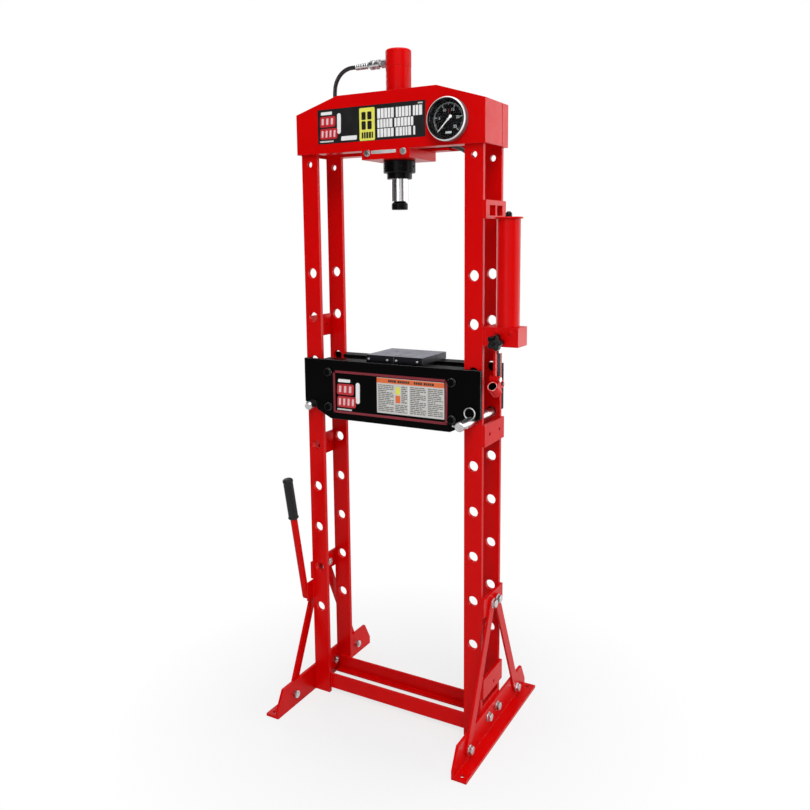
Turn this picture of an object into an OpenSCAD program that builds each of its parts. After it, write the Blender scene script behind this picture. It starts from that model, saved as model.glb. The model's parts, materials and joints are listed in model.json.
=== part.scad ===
// Hand pump hydraulic shop press: H-frame of perforated flat-bar uprights, box head
// with ram and pressure gauge, height-adjustable pinned bed, side-mounted hand pump.
// Millimetres, +Z up. X runs across the press, -Y is the operator's side.
// The origin lies on the floor, midway between the four floor-bolt holes of the feet.

/* [Uprights] */
// Width of each upright bar, seen from the front
post_w = 45; // [40:1:52]
// Thickness of each upright bar, front to back
post_t = 10; // [8:0.5:12]
// Distance from the centre line of the press to the middle of each upright
post_x = 220; // [210:5:260]
// Depth of the frame over the outer faces of the front and rear uprights
frame_d = 116; // [110:1:130]
// Diameter of the bed pin holes
hole_d = 25; // [24:0.5:28]
// Distance between neighbouring pin holes
hole_pitch = 110; // [100:1:115]
// Number of pin holes in each upright
hole_rows = 9; // [8:1:9]
// Height of the lowest pin hole
hole_z0 = 240; // [225:1:250]
// Pin hole that carries the bed, counted upwards from 0
bed_row = 5; // [4:1:5]
// Diameter of the small hole near the top of each upright
tie_hole_d = 15; // [10:0.5:16]

/* [Head beam] */
// Height of the underside of the head beam
beam_z = 1408; // [1400:1:1440]
// Height of the head beam at its ends
beam_end_h = 95; // [90:1:105]
// Height of the head beam in the middle
beam_h = 131; // [122:1:145]
// Length of the level part of the head beam's top edge
beam_top_l = 264; // [220:2:300]
// Thickness of the head beam's front and rear webs
beam_t = 8; // [6:0.5:10]
// Depth of the flange along the bottom edge of each web
beam_lip = 34; // [30:1:35]
// Distance that the head beam stands out past the uprights at each end
beam_overhang = 7.5; // [7:0.5:12]
// Thickness of the folded ends of the head beam
beam_end_t = 6; // [4:0.5:7]

/* [Base] */
// Length of each foot, front to back
foot_l = 446; // [420:2:480]
// Width of the foot's floor flange
foot_w = 37.5; // [34:0.5:45]
// Height of the foot's upright flange
foot_h = 68; // [62:1:75]
// Thickness of the foot angle and of the side plates
side_t = 7; // [5:0.5:8]
// Diameter of the floor-bolt holes
floor_hole_d = 12; // [8:0.5:14]
// Distance from the foot's ends to its floor-bolt holes
floor_hole_in = 15; // [12:1:20]
// Height of the cross members' legs
cross_h = 40; // [35:1:44]
// Width of the cross members' floor legs
cross_w = 20; // [18:1:30]
// Thickness of the cross members' legs
cross_t = 5; // [4:0.5:6]
// Width of the brace straps
brace_w = 26; // [24:1:27]
// Thickness of the brace straps
brace_t = 5; // [4:0.5:6]
// Height of the braces' upper bolts
brace_top_z = 335; // [325:1:340]
// Distance of the braces' lower bolts from the middle of the foot
brace_foot_y = 150; // [130:1:160]
// Shank diameter of the frame bolts
bolt_d = 12; // [8:0.5:12]

/* [Ram] */
// Outside diameter of the ram cylinder
ram_d = 60; // [58:0.5:64]
// Bore of the ram cylinder
ram_bore = 51; // [49:0.5:52]
// Length of the ram cylinder, from its lock nut to the top of its cap
ram_l = 282; // [272:1:292]
// Diameter of the chrome ram rod
rod_d = 41; // [36:0.5:42]
// Length of ram rod that shows below the gland at rest
rod_out = 52; // [52:1:60]
// Diameter of the pressing saddle
saddle_d = 39; // [34:0.5:44]
// Height of the pressing saddle
saddle_h = 20; // [16:1:24]
// Wire diameter of the return spring
spring_wire = 2.5; // [2:0.1:2.8]

/* [Gauge] */
// Outside diameter of the gauge bezel
gauge_d = 95; // [88:1:100]
// Distance of the gauge from the centre line of the press
gauge_x = 164; // [158:1:168]
// Height of the gauge's centre above the underside of the beam
gauge_h = 54; // [50:1:56]

/* [Pump] */
// Outside diameter of the oil reservoir tube
tank_d = 53; // [48:0.5:56]
// Length of the oil reservoir tube
tank_h = 239; // [210:1:245]
// Height of the underside of the pump block
pump_z = 963; // [955:1:968]
// Diameter of the pump plunger
plunger_d = 12; // [10:0.5:12.5]
// Bore of the lever socket
socket_bore = 18.8; // [18.6:0.1:20]
// Upward tilt of the lever socket at rest
lever_tilt = 35; // [30:1:38]
// Diameter of the release knob over its lobes
knob_d = 38; // [32:0.5:42]

/* [Bed] */
// Height of the bed plates
bed_h = 149; // [140:1:160]
// Thickness of the bed plates
bed_t = 8; // [6:0.5:9]
// Clearance between the bed plates and the uprights
bed_gap = 3; // [2:0.5:4]
// Diameter of the bed pins
pin_d = 22; // [20:0.5:22.5]
// Length of the bed pins
pin_l = 215; // [210:1:230]
// Width of each arbor plate
arbor_w = 77; // [60:1:80]
// Thickness of the arbor plates
arbor_t = 17; // [12:0.5:20]

/* [Handle] */
// Diameter of the pump handle's tube
handle_d = 18; // [16:0.5:18.2]
// Length of the pump handle
handle_l = 341; // [320:1:360]
// Diameter of the handle's grip
grip_d = 27; // [24:0.5:30]

/* [Hidden] */
$fn = 64;

RED = "#c2060c";
BLACK = "#17171a";
ZINC = "#b9bcc0";
CHROME = "#dde0e4";
STEEL = "#85868c";

// Named clearances
seat = 0.3;          // between a loose piece and what it rests on
running = 0.05;      // radial, on a shaft that turns or slides in its bore
bolt_play = 1;       // bolt hole diameter over bolt diameter
slip = 1.5;          // between pieces that pass each other in motion

// Frame
half_d = frame_d / 2;
outer_x = post_x + post_w / 2;
inner_x = post_x - post_w / 2;
post_top_gap = 12;
post_h = beam_z + beam_end_h - post_top_gap;
tie_hole_drop = 23;
side_out = outer_x + side_t;
bolt_hole = bolt_d + bolt_play;
washer_t = 2;

// Base
foot_cut_z = 21;
foot_cut_y = 26;
through_l = 3 * (outer_x + foot_w);
floor_hole_x = outer_x + foot_w - 17;
floor_hole_y = foot_l / 2 - floor_hole_in;
cross_z = 10;
cross_end = outer_x - side_t - 3;
brace_top_y = brace_w / 2 + 1;
brace_foot_z = foot_h / 2 - 1;
brace_plate_h = 45;
foot_plate_z = 20;
foot_plate_h = 60;
foot_bolt_y = 27;
foot_bolt_z = 46;
base_plate_z = 105;
base_plate_h = 50;
base_hole_y = 6;
base_hole_rise = 18;
lower_right_z = 728;
lower_right_h = 51;
upper_right_z = beam_z - 162;
upper_right_h = 41;
left_plate_h = 55;
left_plate_z = [641, 956];
plate_hole_d = 9;

// Head beam
beam_l = 2 * (outer_x + beam_overhang);
beam_seam = 30;
beam_seam_gap = 2;
lip_t = 6;
lip_end = inner_x - 3;
rear_lip_end = lip_end - 82;
holder_h = 21;
holder_w = 128;
holder_wall = 8;
holder_bolt_z = beam_z - (holder_h - holder_wall) / 2;
holder_bolt_d = 8;
holder_bolt_x = holder_w / 2 - holder_wall - holder_bolt_d;

// Ram
holder_z = beam_z - holder_h;
collar_d = ram_d + 17;
collar_h = 29;
collar_z = holder_z - collar_h;
gland_rim = 14;
gland_spigot = 12;
gland_z = collar_z - gland_rim;
rod_end = gland_z - rod_out;
cap_h = 40;
cap_spigot = 12;
cap_z = collar_z + ram_l - cap_h;
port_z = cap_z + 13;
port_d = 13;
piston_h = 30;
ram_up = 50;
piston_top = cap_z - cap_spigot - ram_up - slip;
rod_bore = 22;
pocket_top = cap_z + 7;
ram_flange_d = ram_d + 14;
ram_flange_h = 10;
seal_h = 6;

// Gauge
web_y = half_d + beam_t;
gauge_z = beam_z + gauge_h;
case_d = gauge_d - 7;
case_h = 16;
case_wall = 2;
bezel_lip = 2;
case_floor = 2;
dial_t = 1;
lens_t = 2;
needle_l = gauge_d * 0.34;
needle_zero = -135;
stem_d = 24;
line_d = 6;

// Pump
block_x0 = side_out;
block_l = 78;
block_w = 55;
block_h = 43;
block_y0 = -half_d;
tank_x = block_x0 + 42.5;
tank_y = block_y0 + block_w / 2;
tank_wall = 3;
tank_z = pump_z + block_h;
tank_cap_t = 4;
plunger_x = block_x0 + 17.5;
plunger_y = block_y0 + 34;
plunger_bore_top = pump_z + block_h - 3;
plunger_top = pump_z + 17;
fulcrum_y = block_y0 + 16;
fulcrum_z = pump_z - 77;
lever_arm = plunger_y - fulcrum_y;
link_z = fulcrum_z - lever_arm * tan(lever_tilt);
link_w = 12;
link_t = 5;
eye_d = plunger_d + 1;
cheek_in = eye_d / 2 + 0.5;
cheek_t = 4;
cheek_r = 8;
eye_w = 2 * cheek_in - 1;
slot_reach = lever_arm / cos(lever_tilt);
socket_d = socket_bore + 7.2;
socket_wall = 4;
socket_l = 28;
socket_out = 5;
socket_drop = (socket_d + eye_d) / 2 + 1.1;
fulcrum_pin_d = 8;
link_pin_d = 7;
slot_play = 1.8;
slot_rise = 0.25;
slot_in = 4.5;
slot_out = 2.5;
knob_x = block_x0 + 32;
knob_z = pump_z + 12;
knob_h = 20;
knob_neck = 10;
stem_in = 12;
valve_d = 8;
outlet_x = block_x0 + 12.5;
outlet_z = pump_z + 25;
plug_x = [block_x0 + 26, block_x0 + 59];
plug_z = pump_z + 33;
plug_d = 11;

// Bed
pin_z = hole_z0 + bed_row * hole_pitch - (hole_d - pin_d) / 2 + seat;
bed_z = pin_z - 31;
bed_top = bed_z + bed_h;
bed_half = outer_x + 0.5;
bed_in = half_d + bed_gap;
bed_out = bed_in + bed_t;
bed_lip = 30;
bed_lip_end = inner_x - 6;
bed_cut_x = 77;
bed_cut_z = 38;
spacer_x = inner_x - 26.5;
spacer_z = [bed_z + 30, bed_top - 31];
spacer_d = 22;
spacer_bolt = 12;
arbor_l = 2 * bed_out - 10;
arbor_gap = 1;
arbor_shift_x = 8.5;
arbor_shift_y = 12;
pin_head_y = 135;
ring_y = bed_out + 9;
ring_r = 13;
ring_wire = 3;
groove_z = 5.2;
peg_d = 4;

// Handle
handle_x = outer_x + 13.5;
handle_out = 16;
handle_foot = [-handle_x, -half_d - handle_out, 270];
handle_tilt = 10.7;
handle_bore = handle_d - 5;
grip_l = 111;
tab_t = 3.5;
tab_h = 50;
tab_drop = 11;
peg_h = 34;

// Hose: outside diameter and the points its centre line passes through
hose_d = 10;
hose_route = [
    [-116, 0, 1613], [-134, 0, 1613], [-152, 1, 1608], [-168, 3, 1597], [-180, 6, 1581],
    [-186, 10, 1562], [-188, 14, 1540], [-188, 19, 1516], [-185, 25, 1492], [-178, 31, 1469],
    [-165, 37, 1448], [-147, 42, 1432], [-125, 45, 1423], [-100, 46, 1420], [-70, 46, 1420],
    [-35, 46, 1420], [0, 46, 1420], [35, 46, 1420], [70, 46, 1420], [100, 46, 1420],
    [124, 47, 1417], [145, 50, 1408], [163, 55, 1393], [177, 61, 1373], [188, 68, 1349],
    [196, 74, 1323], [203, 79, 1294], [209, 82, 1262], [216, 83, 1228], [224, 83, 1192],
    [233, 83, 1156], [243, 83, 1120], [252, 84, 1088], [259, 84, 1062], [262, 84, 1038],
    [262, 80, 1019], [262, 69, 1003], [262, 53, 992], [262, 34, 988]
];

// ---------- shared shapes ----------

// Plate in the XZ plane, from y0 to y0 + t
module plate_xz(y0, t) {
    translate([0, y0 + t, 0])
        rotate([90, 0, 0])
            linear_extrude(t)
                children();
}

// Plate in the YZ plane, from x0 to x0 + t
module plate_yz(x0, t) {
    translate([x0, 0, 0])
        rotate([90, 0, 90])
            linear_extrude(t)
                children();
}

// Mirrors its children to the left side of the press when s is -1
module on_side(s) {
    mirror([s < 0 ? 1 : 0, 0, 0])
        children();
}

// Mirrors its children to the rear of the press when s is 1
module on_front(s) {
    mirror([0, s > 0 ? 1 : 0, 0])
        children();
}

module hole_y(x, z, d, depth = through_l) {
    translate([x, 0, z])
        rotate([90, 0, 0])
            cylinder(d = d, h = depth, center = true);
}

module hole_x(y, z, d, depth = through_l) {
    translate([0, y, z])
        rotate([0, 90, 0])
            cylinder(d = d, h = depth, center = true);
}

// Bolt along +Z: washer and head above z = 0, nut below the grip
module bolt(grip, d = bolt_d, nut = true) {
    af = d * 1.5;
    washer_d = d * 2;
    cylinder(d = washer_d, h = washer_t);
    translate([0, 0, washer_t])
        cylinder(d = af / cos(30), h = d * 0.6, $fn = 6);
    translate([0, 0, -grip - (nut ? d : 0)])
        cylinder(d = d, h = grip + (nut ? d : 0) + washer_t);
    if (nut)
        translate([0, 0, -grip - d * 0.75])
            cylinder(d = af / cos(30), h = d * 0.75, $fn = 6);
}

module bolt_x(s, x, y, z, grip, nut = true) {
    translate([s * x, y, z])
        rotate([0, s * 90, 0])
            bolt(grip, nut = nut);
}

module bolt_front(s, x, y, z, grip, d = bolt_d) {
    translate([x, s * y, z])
        rotate([s < 0 ? 90 : -90, 0, 0])
            bolt(grip, d);
}

// ---------- swept tube, for the hose and the spring ----------

function unit(v) = v / norm(v);
function tangent(p, i) = unit(p[min(i + 1, len(p) - 1)] - p[max(i - 1, 0)]);
function ring_points(c, t, r, sides, ref) =
    let (u = unit(cross(t, ref)), v = cross(t, u))
    [for (k = [0:sides - 1]) c + r * (cos(360 * k / sides) * u + sin(360 * k / sides) * v)];

// Point on a smooth curve through a, b, c and d, at share f of the way from b to c
function between(a, b, c, d, f) =
    0.5 * (2 * b + (c - a) * f + (2 * a - 5 * b + 4 * c - d) * f * f
        + (3 * b - a - 3 * c + d) * f * f * f);
function smooth_route(p, parts) = concat(
    [for (i = [0:len(p) - 2]) for (k = [0:parts - 1])
        between(p[max(i - 1, 0)], p[i], p[i + 1], p[min(i + 2, len(p) - 1)], k / parts)],
    [p[len(p) - 1]]);

module swept_tube(p, r, sides, ref) {
    n = len(p);
    points = [for (i = [0:n - 1]) each ring_points(p[i], tangent(p, i), r, sides, ref)];
    walls = [for (i = [0:n - 2]) for (k = [0:sides - 1])
        let (a = i * sides + k, b = i * sides + (k + 1) % sides)
        [a, b, b + sides, a + sides]];
    first = [for (k = [sides - 1:-1:0]) k];
    last = [for (k = [0:sides - 1]) (n - 1) * sides + k];
    polyhedron(points, concat([first], walls, [last]), convexity = 10);
}

// ---------- uprights ----------

module post(sx, sy) {
    color(RED)
        difference() {
            translate([sx * post_x - post_w / 2, sy * (half_d - post_t / 2) - post_t / 2, 0])
                cube([post_w, post_t, post_h]);
            for (row = [0:hole_rows - 1])
                hole_y(sx * post_x, hole_z0 + row * hole_pitch, hole_d);
            hole_y(sx * post_x, beam_z - tie_hole_drop, tie_hole_d);
        }
}

module post_front_left() { post(-1, -1); }
module post_front_right() { post(1, -1); }
module post_rear_left() { post(-1, 1); }
module post_rear_right() { post(1, 1); }

// ---------- base ----------

module foot_outline() {
    end = foot_l / 2;
    polygon([
        [-end, 0], [-end, foot_cut_z], [-end + foot_cut_y, foot_h],
        [end - foot_cut_y, foot_h], [end, foot_cut_z], [end, 0]
    ]);
}

module foot(s) {
    color(RED)
        on_side(s)
            difference() {
                union() {
                    plate_yz(outer_x, side_t)
                        foot_outline();
                    translate([outer_x, -foot_l / 2, 0])
                        cube([foot_w, foot_l, side_t]);
                }
                for (e = [-1, 1]) {
                    translate([floor_hole_x, e * floor_hole_y, -1])
                        cylinder(d = floor_hole_d, h = side_t + 2);
                    hole_x(e * brace_foot_y, brace_foot_z, bolt_hole);
                    hole_x(e * foot_bolt_y, foot_bolt_z, bolt_hole);
                }
            }
}

module foot_left() { foot(-1); }
module foot_right() { foot(1); }

// Angle welded between the uprights, its floor leg pointing inwards
module cross_member(e) {
    color(RED)
        on_front(e)
            plate_yz(-cross_end, 2 * cross_end)
                translate([-half_d + post_t, cross_z])
                    polygon([
                        [0, 0], [cross_w, 0], [cross_w, cross_t],
                        [cross_t, cross_t], [cross_t, cross_h], [0, cross_h]
                    ]);
}

module cross_member_front() { cross_member(-1); }
module cross_member_rear() { cross_member(1); }

// Outline of a plate that ties a front and a rear upright, with two small holes
module tie_plate(half, z, h) {
    difference() {
        translate([-half, z])
            square([2 * half, h]);
        for (e = [-1, 1])
            translate([e * half / 2, z + h / 2])
                circle(d = plate_hole_d);
    }
}

// The left plates lie between the uprights, flush with their outer edges
module side_plates_left() {
    color(RED)
        for (z = left_plate_z)
            on_side(-1)
                plate_yz(outer_x - side_t, side_t)
                    tie_plate(half_d - post_t, z, left_plate_h);
}

module side_plate_right_lower() {
    color(RED)
        plate_yz(outer_x, side_t)
            tie_plate(half_d, lower_right_z, lower_right_h);
}

// The upper right plate has two windows
module side_plate_right_upper() {
    window_w = frame_d * 0.28;
    color(RED)
        plate_yz(outer_x, side_t)
            difference() {
                translate([-half_d, upper_right_z])
                    square([frame_d, upper_right_h]);
                for (e = [-1, 1])
                    translate([e * frame_d * 0.18 - window_w / 2, upper_right_z + 7])
                        square([window_w, upper_right_h - 18]);
            }
}

module base_plate_right() {
    color(RED)
        difference() {
            plate_yz(outer_x, side_t)
                translate([-half_d, base_plate_z])
                    square([frame_d, base_plate_h]);
            hole_x(base_hole_y, base_plate_z + base_hole_rise, plate_hole_d);
        }
}

module brace_plates() {
    color(RED)
        for (s = [-1, 1])
            on_side(s)
                difference() {
                    plate_yz(outer_x, side_t)
                        translate([-half_d, brace_top_z - brace_plate_h / 2])
                            square([frame_d, brace_plate_h]);
                    for (e = [-1, 1])
                        hole_x(e * brace_top_y, brace_top_z, bolt_hole);
                }
}

// Inner plates between the uprights, which the feet are bolted to
module foot_plates() {
    color(RED)
        for (s = [-1, 1])
            on_side(s)
                difference() {
                    plate_yz(outer_x - side_t, side_t)
                        translate([-half_d + post_t, foot_plate_z])
                            square([frame_d - 2 * post_t, foot_plate_h]);
                    for (e = [-1, 1])
                        hole_x(e * foot_bolt_y, foot_bolt_z, bolt_hole);
                }
}

// Strap with round ends from the brace plate down to the foot
module brace(s, e) {
    rise = brace_top_z - brace_foot_z;
    reach = brace_foot_y - brace_top_y;
    color(RED)
        on_side(s)
            on_front(e)
                plate_yz(side_out, brace_t)
                    difference() {
                        translate([-brace_top_y, brace_top_z])
                            rotate(-atan2(reach, rise)) {
                                circle(d = brace_w);
                                translate([-brace_w / 2, -norm([rise, reach])])
                                    square([brace_w, norm([rise, reach])]);
                                translate([0, -norm([rise, reach])])
                                    circle(d = brace_w);
                            }
                        translate([-brace_top_y, brace_top_z])
                            circle(d = bolt_hole);
                        translate([-brace_foot_y, brace_foot_z])
                            circle(d = bolt_hole);
                    }
}

module brace_front_left() { brace(-1, -1); }
module brace_front_right() { brace(1, -1); }
module brace_rear_left() { brace(-1, 1); }
module brace_rear_right() { brace(1, 1); }

// ---------- head beam ----------

module beam_outline() {
    polygon([
        [-beam_l / 2, beam_z], [beam_l / 2, beam_z],
        [beam_l / 2, beam_z + beam_end_h], [beam_top_l / 2, beam_z + beam_h],
        [-beam_top_l / 2, beam_z + beam_h], [-beam_l / 2, beam_z + beam_end_h]
    ]);
}

module beam_end(y0, y1) {
    for (s = [-1, 1])
        on_side(s)
            translate([beam_l / 2 - beam_end_t, y0, beam_z])
                cube([beam_end_t, y1 - y0, beam_end_h]);
}

module beam_front() {
    color(RED)
        difference() {
            union() {
                plate_xz(-web_y, beam_t)
                    beam_outline();
                beam_end(-web_y + beam_t / 2, beam_seam);
                translate([-lip_end, -web_y, beam_z])
                    cube([2 * lip_end, beam_lip, lip_t]);
            }
            translate([gauge_x, -half_d, gauge_z])
                rotate([90, 0, 0])
                    cylinder(d = stem_d + 2, h = 3 * beam_t, center = true);
        }
}

// The rear flange stops short on the right, where the hose drops out of the beam
module beam_rear() {
    color(RED) {
        plate_xz(half_d, beam_t)
            beam_outline();
        beam_end(beam_seam + beam_seam_gap, half_d + beam_t / 2);
        translate([-lip_end, web_y - beam_lip, beam_z])
            cube([lip_end + rear_lip_end, beam_lip, lip_t]);
    }
}

// Tray under the beam that carries the ram
module ram_holder() {
    color(RED)
        difference() {
            translate([-holder_w / 2, -web_y, holder_z])
                cube([holder_w, 2 * web_y, holder_h]);
            translate([-holder_w / 2 + holder_wall, -web_y + holder_wall, holder_z + holder_wall])
                cube([holder_w - 2 * holder_wall, 2 * (web_y - holder_wall), holder_h]);
            translate([0, 0, holder_z - 1])
                cylinder(d = ram_d + bolt_play, h = holder_h);
            for (s = [-1, 1])
                hole_y(s * holder_bolt_x, holder_bolt_z, holder_bolt_d + bolt_play);
        }
}

module frame_bolts() {
    color(ZINC)
        for (s = [-1, 1]) for (e = [-1, 1]) {
            bolt_x(s, side_out + brace_t, e * brace_top_y, brace_top_z, side_t + brace_t);
            bolt_x(s, side_out + brace_t, e * brace_foot_y, brace_foot_z, side_t + brace_t);
            bolt_x(s, side_out, e * foot_bolt_y, foot_bolt_z, 2 * side_t);
            bolt_front(e, s * holder_bolt_x, web_y, holder_bolt_z, holder_wall, holder_bolt_d);
        }
}

// ---------- ram ----------

module ram_cylinder() {
    color(RED)
        difference() {
            union() {
                translate([0, 0, collar_z])
                    cylinder(d = ram_d, h = cap_z - collar_z);
                translate([0, 0, holder_z + holder_wall])
                    cylinder(d = ram_flange_d, h = ram_flange_h);
            }
            translate([0, 0, collar_z - 1])
                cylinder(d = ram_bore, h = cap_z - collar_z + 2);
            translate([ram_bore / 2, 0, gauge_z])
                rotate([0, 90, 0])
                    cylinder(d = line_d + 0.4, h = ram_d, center = true);
        }
}

module ram_cap() {
    color(RED)
        difference() {
            union() {
                translate([0, 0, cap_z])
                    rotate_extrude()
                        polygon([
                            [0, 0], [ram_d / 2, 0], [ram_d / 2 + 0.5, 1],
                            [ram_d / 2 + 0.5, cap_h - 3], [ram_d / 2 - 2.5, cap_h], [0, cap_h]
                        ]);
                translate([0, 0, cap_z - cap_spigot])
                    cylinder(d = ram_bore - 2 * running, h = cap_spigot + 1);
            }
            translate([-ram_d / 2, 0, port_z])
                rotate([0, 90, 0])
                    cylinder(d = port_d, h = 36, center = true);
            translate([-ram_bore / 4, 0, cap_z - cap_spigot - 1])
                cylinder(d = 7, h = port_z - cap_z + cap_spigot + 1);
            translate([0, 0, cap_z - cap_spigot - 1])
                cylinder(d = rod_bore, h = pocket_top - cap_z + cap_spigot + 1);
        }
}

// Lock nut that clamps the cylinder against the holder
module ram_collar() {
    color(BLACK)
        difference() {
            translate([0, 0, collar_z])
                rotate_extrude()
                    polygon([
                        [ram_d / 2 + running, 0], [collar_d / 2 - 1.5, 0],
                        [collar_d / 2, 1.5], [collar_d / 2, collar_h - 1.5],
                        [collar_d / 2 - 1.5, collar_h], [ram_d / 2 + running, collar_h]
                    ]);
            for (a = [0:60:300])
                rotate(a)
                    translate([collar_d / 2, 0, collar_z + collar_h / 2])
                        rotate([0, 90, 0])
                            cylinder(d = 6, h = 8, center = true);
        }
}

module ram_gland() {
    color(BLACK)
        translate([0, 0, gland_z])
            rotate_extrude()
                polygon([
                    [rod_d / 2 + running, 0], [ram_d / 2 - 1, 0], [ram_d / 2, 1],
                    [ram_d / 2, gland_rim], [ram_bore / 2 - running, gland_rim],
                    [ram_bore / 2 - running, gland_rim + gland_spigot],
                    [rod_d / 2 + running, gland_rim + gland_spigot]
                ]);
}

module ram_rod() {
    color(CHROME)
        difference() {
            translate([0, 0, rod_end])
                cylinder(d = rod_d, h = piston_top - rod_end);
            translate([0, 0, rod_end + 8])
                cylinder(d = rod_bore, h = piston_top - rod_end);
        }
}

module ram_piston() {
    color(STEEL)
        translate([0, 0, piston_top - piston_h])
            rotate_extrude()
                polygon([
                    [rod_d / 2, 0], [ram_bore / 2 - running, 0],
                    [ram_bore / 2 - running, piston_h / 2 - seal_h / 2],
                    [ram_bore / 2 - 2.5, piston_h / 2 - seal_h / 2],
                    [ram_bore / 2 - 2.5, piston_h / 2 + seal_h / 2],
                    [ram_bore / 2 - running, piston_h / 2 + seal_h / 2],
                    [ram_bore / 2 - running, piston_h], [rod_d / 2, piston_h]
                ]);
}

module piston_seal() {
    color(BLACK)
        translate([0, 0, piston_top - piston_h / 2])
            rotate_extrude()
                translate([ram_bore / 2 - 1.3, 0])
                    square([2.3, seal_h - 0.4], center = true);
}

module ram_saddle() {
    color(BLACK)
        translate([0, 0, rod_end - saddle_h])
            rotate_extrude()
                polygon([
                    [0, 0], [saddle_d / 2 - 1.5, 0], [saddle_d / 2, 1.5],
                    [saddle_d / 2, saddle_h - 6], [saddle_d / 2 - 6, saddle_h], [0, saddle_h]
                ]);
}

// Tension spring inside the hollow rod, from the cap down to the rod's floor
module return_spring() {
    turns = 16;
    steps = 10;
    r = rod_bore / 2 - spring_wire / 2 - 1;
    z0 = rod_end + 8 + seat + spring_wire / 2;
    z1 = pocket_top - seat - spring_wire / 2;
    coil = [for (i = [0:turns * steps])
        [r * cos(360 * i / steps), r * sin(360 * i / steps), z0 + (z1 - z0) * i / (turns * steps)]];
    color(STEEL)
        swept_tube(coil, spring_wire / 2, 5, [0, 0, 1]);
}

// ---------- hose ----------

module ram_coupler() {
    nut_l = 13;
    sleeve_l = 36;
    color(ZINC)
        translate([-ram_d / 2 - 0.5, 0, port_z])
            rotate([0, -90, 0]) {
                translate([0, 0, -14])
                    cylinder(d = port_d - 0.2, h = 15);
                cylinder(d = 17 / cos(30), h = nut_l, $fn = 6);
                translate([0, 0, nut_l])
                    rotate_extrude()
                        polygon([
                            [0, 0], [7, 0], [7, 3], [11, 5], [11, 14], [9.5, 15.5],
                            [9.5, 19], [11, 20.5], [11, 30], [8, sleeve_l], [0, sleeve_l]
                        ]);
            }
}

module ferrule(l) {
    rotate_extrude()
        polygon([
            [0, 0], [6.5, 0], [6.5, 4], [7.5, 5], [7.5, l - 1], [6.8, l], [0, l]
        ]);
}

module hose_ferrules() {
    color(ZINC) {
        translate([-ram_d / 2 - 49.5, 0, port_z])
            rotate([0, -90, 0])
                ferrule(36.5);
        translate([outlet_x, block_y0 + block_w, outlet_z])
            rotate([-90, 0, 0]) {
                cylinder(d = 17 / cos(30), h = 12, $fn = 6);
                translate([0, 0, 12])
                    ferrule(25);
            }
    }
}

module hose() {
    color(BLACK)
        swept_tube(smooth_route(hose_route, 2), hose_d / 2, 8, [1, 1, 1]);
}

// ---------- gauge ----------

// Puts children with +Z pointing out of the beam's front face, at the gauge's centre
module at_gauge() {
    translate([gauge_x, -web_y, gauge_z])
        rotate([90, 0, 0])
            children();
}

module gauge_case() {
    color(BLACK)
        at_gauge()
            difference() {
                union() {
                    cylinder(d = case_d, h = case_h);
                    translate([0, 0, -beam_t - 1])
                        cylinder(d = stem_d, h = beam_t + 2);
                    translate([0, 0, -beam_t - 13])
                        cylinder(d = 22 / cos(30), h = 12, $fn = 6);
                }
                translate([0, 0, case_floor])
                    cylinder(d = case_d - 2 * case_wall, h = case_h);
                translate([0, 0, -2])
                    cylinder(d = 3.6, h = 10);
            }
}

module gauge_bezel() {
    color(CHROME)
        at_gauge()
            rotate_extrude()
                polygon([
                    [case_d / 2 + 0.1, 2], [gauge_d / 2, 2], [gauge_d / 2, case_h + 1],
                    [gauge_d / 2 - 2, case_h + 4], [case_d / 2 - bezel_lip, case_h + 4],
                    [case_d / 2 - bezel_lip, case_h + 2.5], [case_d / 2 - 1, case_h + 0.5],
                    [case_d / 2 + 0.1, case_h + 0.5]
                ]);
}

module gauge_dial() {
    color("#0d0d0f")
        at_gauge()
            translate([0, 0, case_floor])
                difference() {
                    cylinder(d = case_d - 2 * case_wall - 1, h = dial_t);
                    translate([0, 0, -1])
                        cylinder(d = 3.6, h = 4);
                }
}

module gauge_needle() {
    color("#f2f2f2")
        at_gauge()
            translate([0, 0, case_floor + dial_t + 2]) {
                cylinder(d = 8, h = 3);
                translate([0, 0, -4.5])
                    cylinder(d = 3, h = 5);
                rotate(-needle_zero)
                    translate([0, 0, 0.8])
                        linear_extrude(1)
                            polygon([
                                [-1.6, -10], [1.6, -10], [1.3, 0], [0.4, needle_l],
                                [-0.4, needle_l], [-1.3, 0]
                            ]);
            }
}

module gauge_lens() {
    color("#dfe8ee", 0.35)
        at_gauge()
            translate([0, 0, case_h - lens_t])
                cylinder(d = case_d - 2 * case_wall - 0.6, h = lens_t);
}

// Steel line from the gauge's connector to the ram cylinder
module gauge_line() {
    line_y = -half_d + 24;
    end_x = ram_d / 2 + 22;
    color(STEEL) {
        translate([gauge_x, line_y, gauge_z])
            rotate([90, 0, 0])
                cylinder(d = line_d, h = line_y + half_d - 13);
        translate([gauge_x, line_y, gauge_z])
            sphere(d = line_d);
        translate([end_x, 0, gauge_z])
            rotate([0, 90, atan2(line_y, gauge_x - end_x)])
                cylinder(d = line_d, h = norm([gauge_x - end_x, line_y]));
        translate([end_x, 0, gauge_z])
            sphere(d = line_d);
        translate([ram_bore / 2 + 1, 0, gauge_z])
            rotate([0, 90, 0])
                cylinder(d = line_d, h = end_x - ram_bore / 2 - 1);
        translate([ram_d / 2 + 0.2, 0, gauge_z])
            rotate([0, 90, 0])
                cylinder(d = 14 / cos(30), h = 10, $fn = 6);
    }
}

// ---------- pump ----------

// Plate across the right uprights that the pump block is welded to
module pump_bracket() {
    color(RED)
        plate_yz(outer_x, side_t)
            translate([-half_d, pump_z])
                square([frame_d, block_h]);
}

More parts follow.
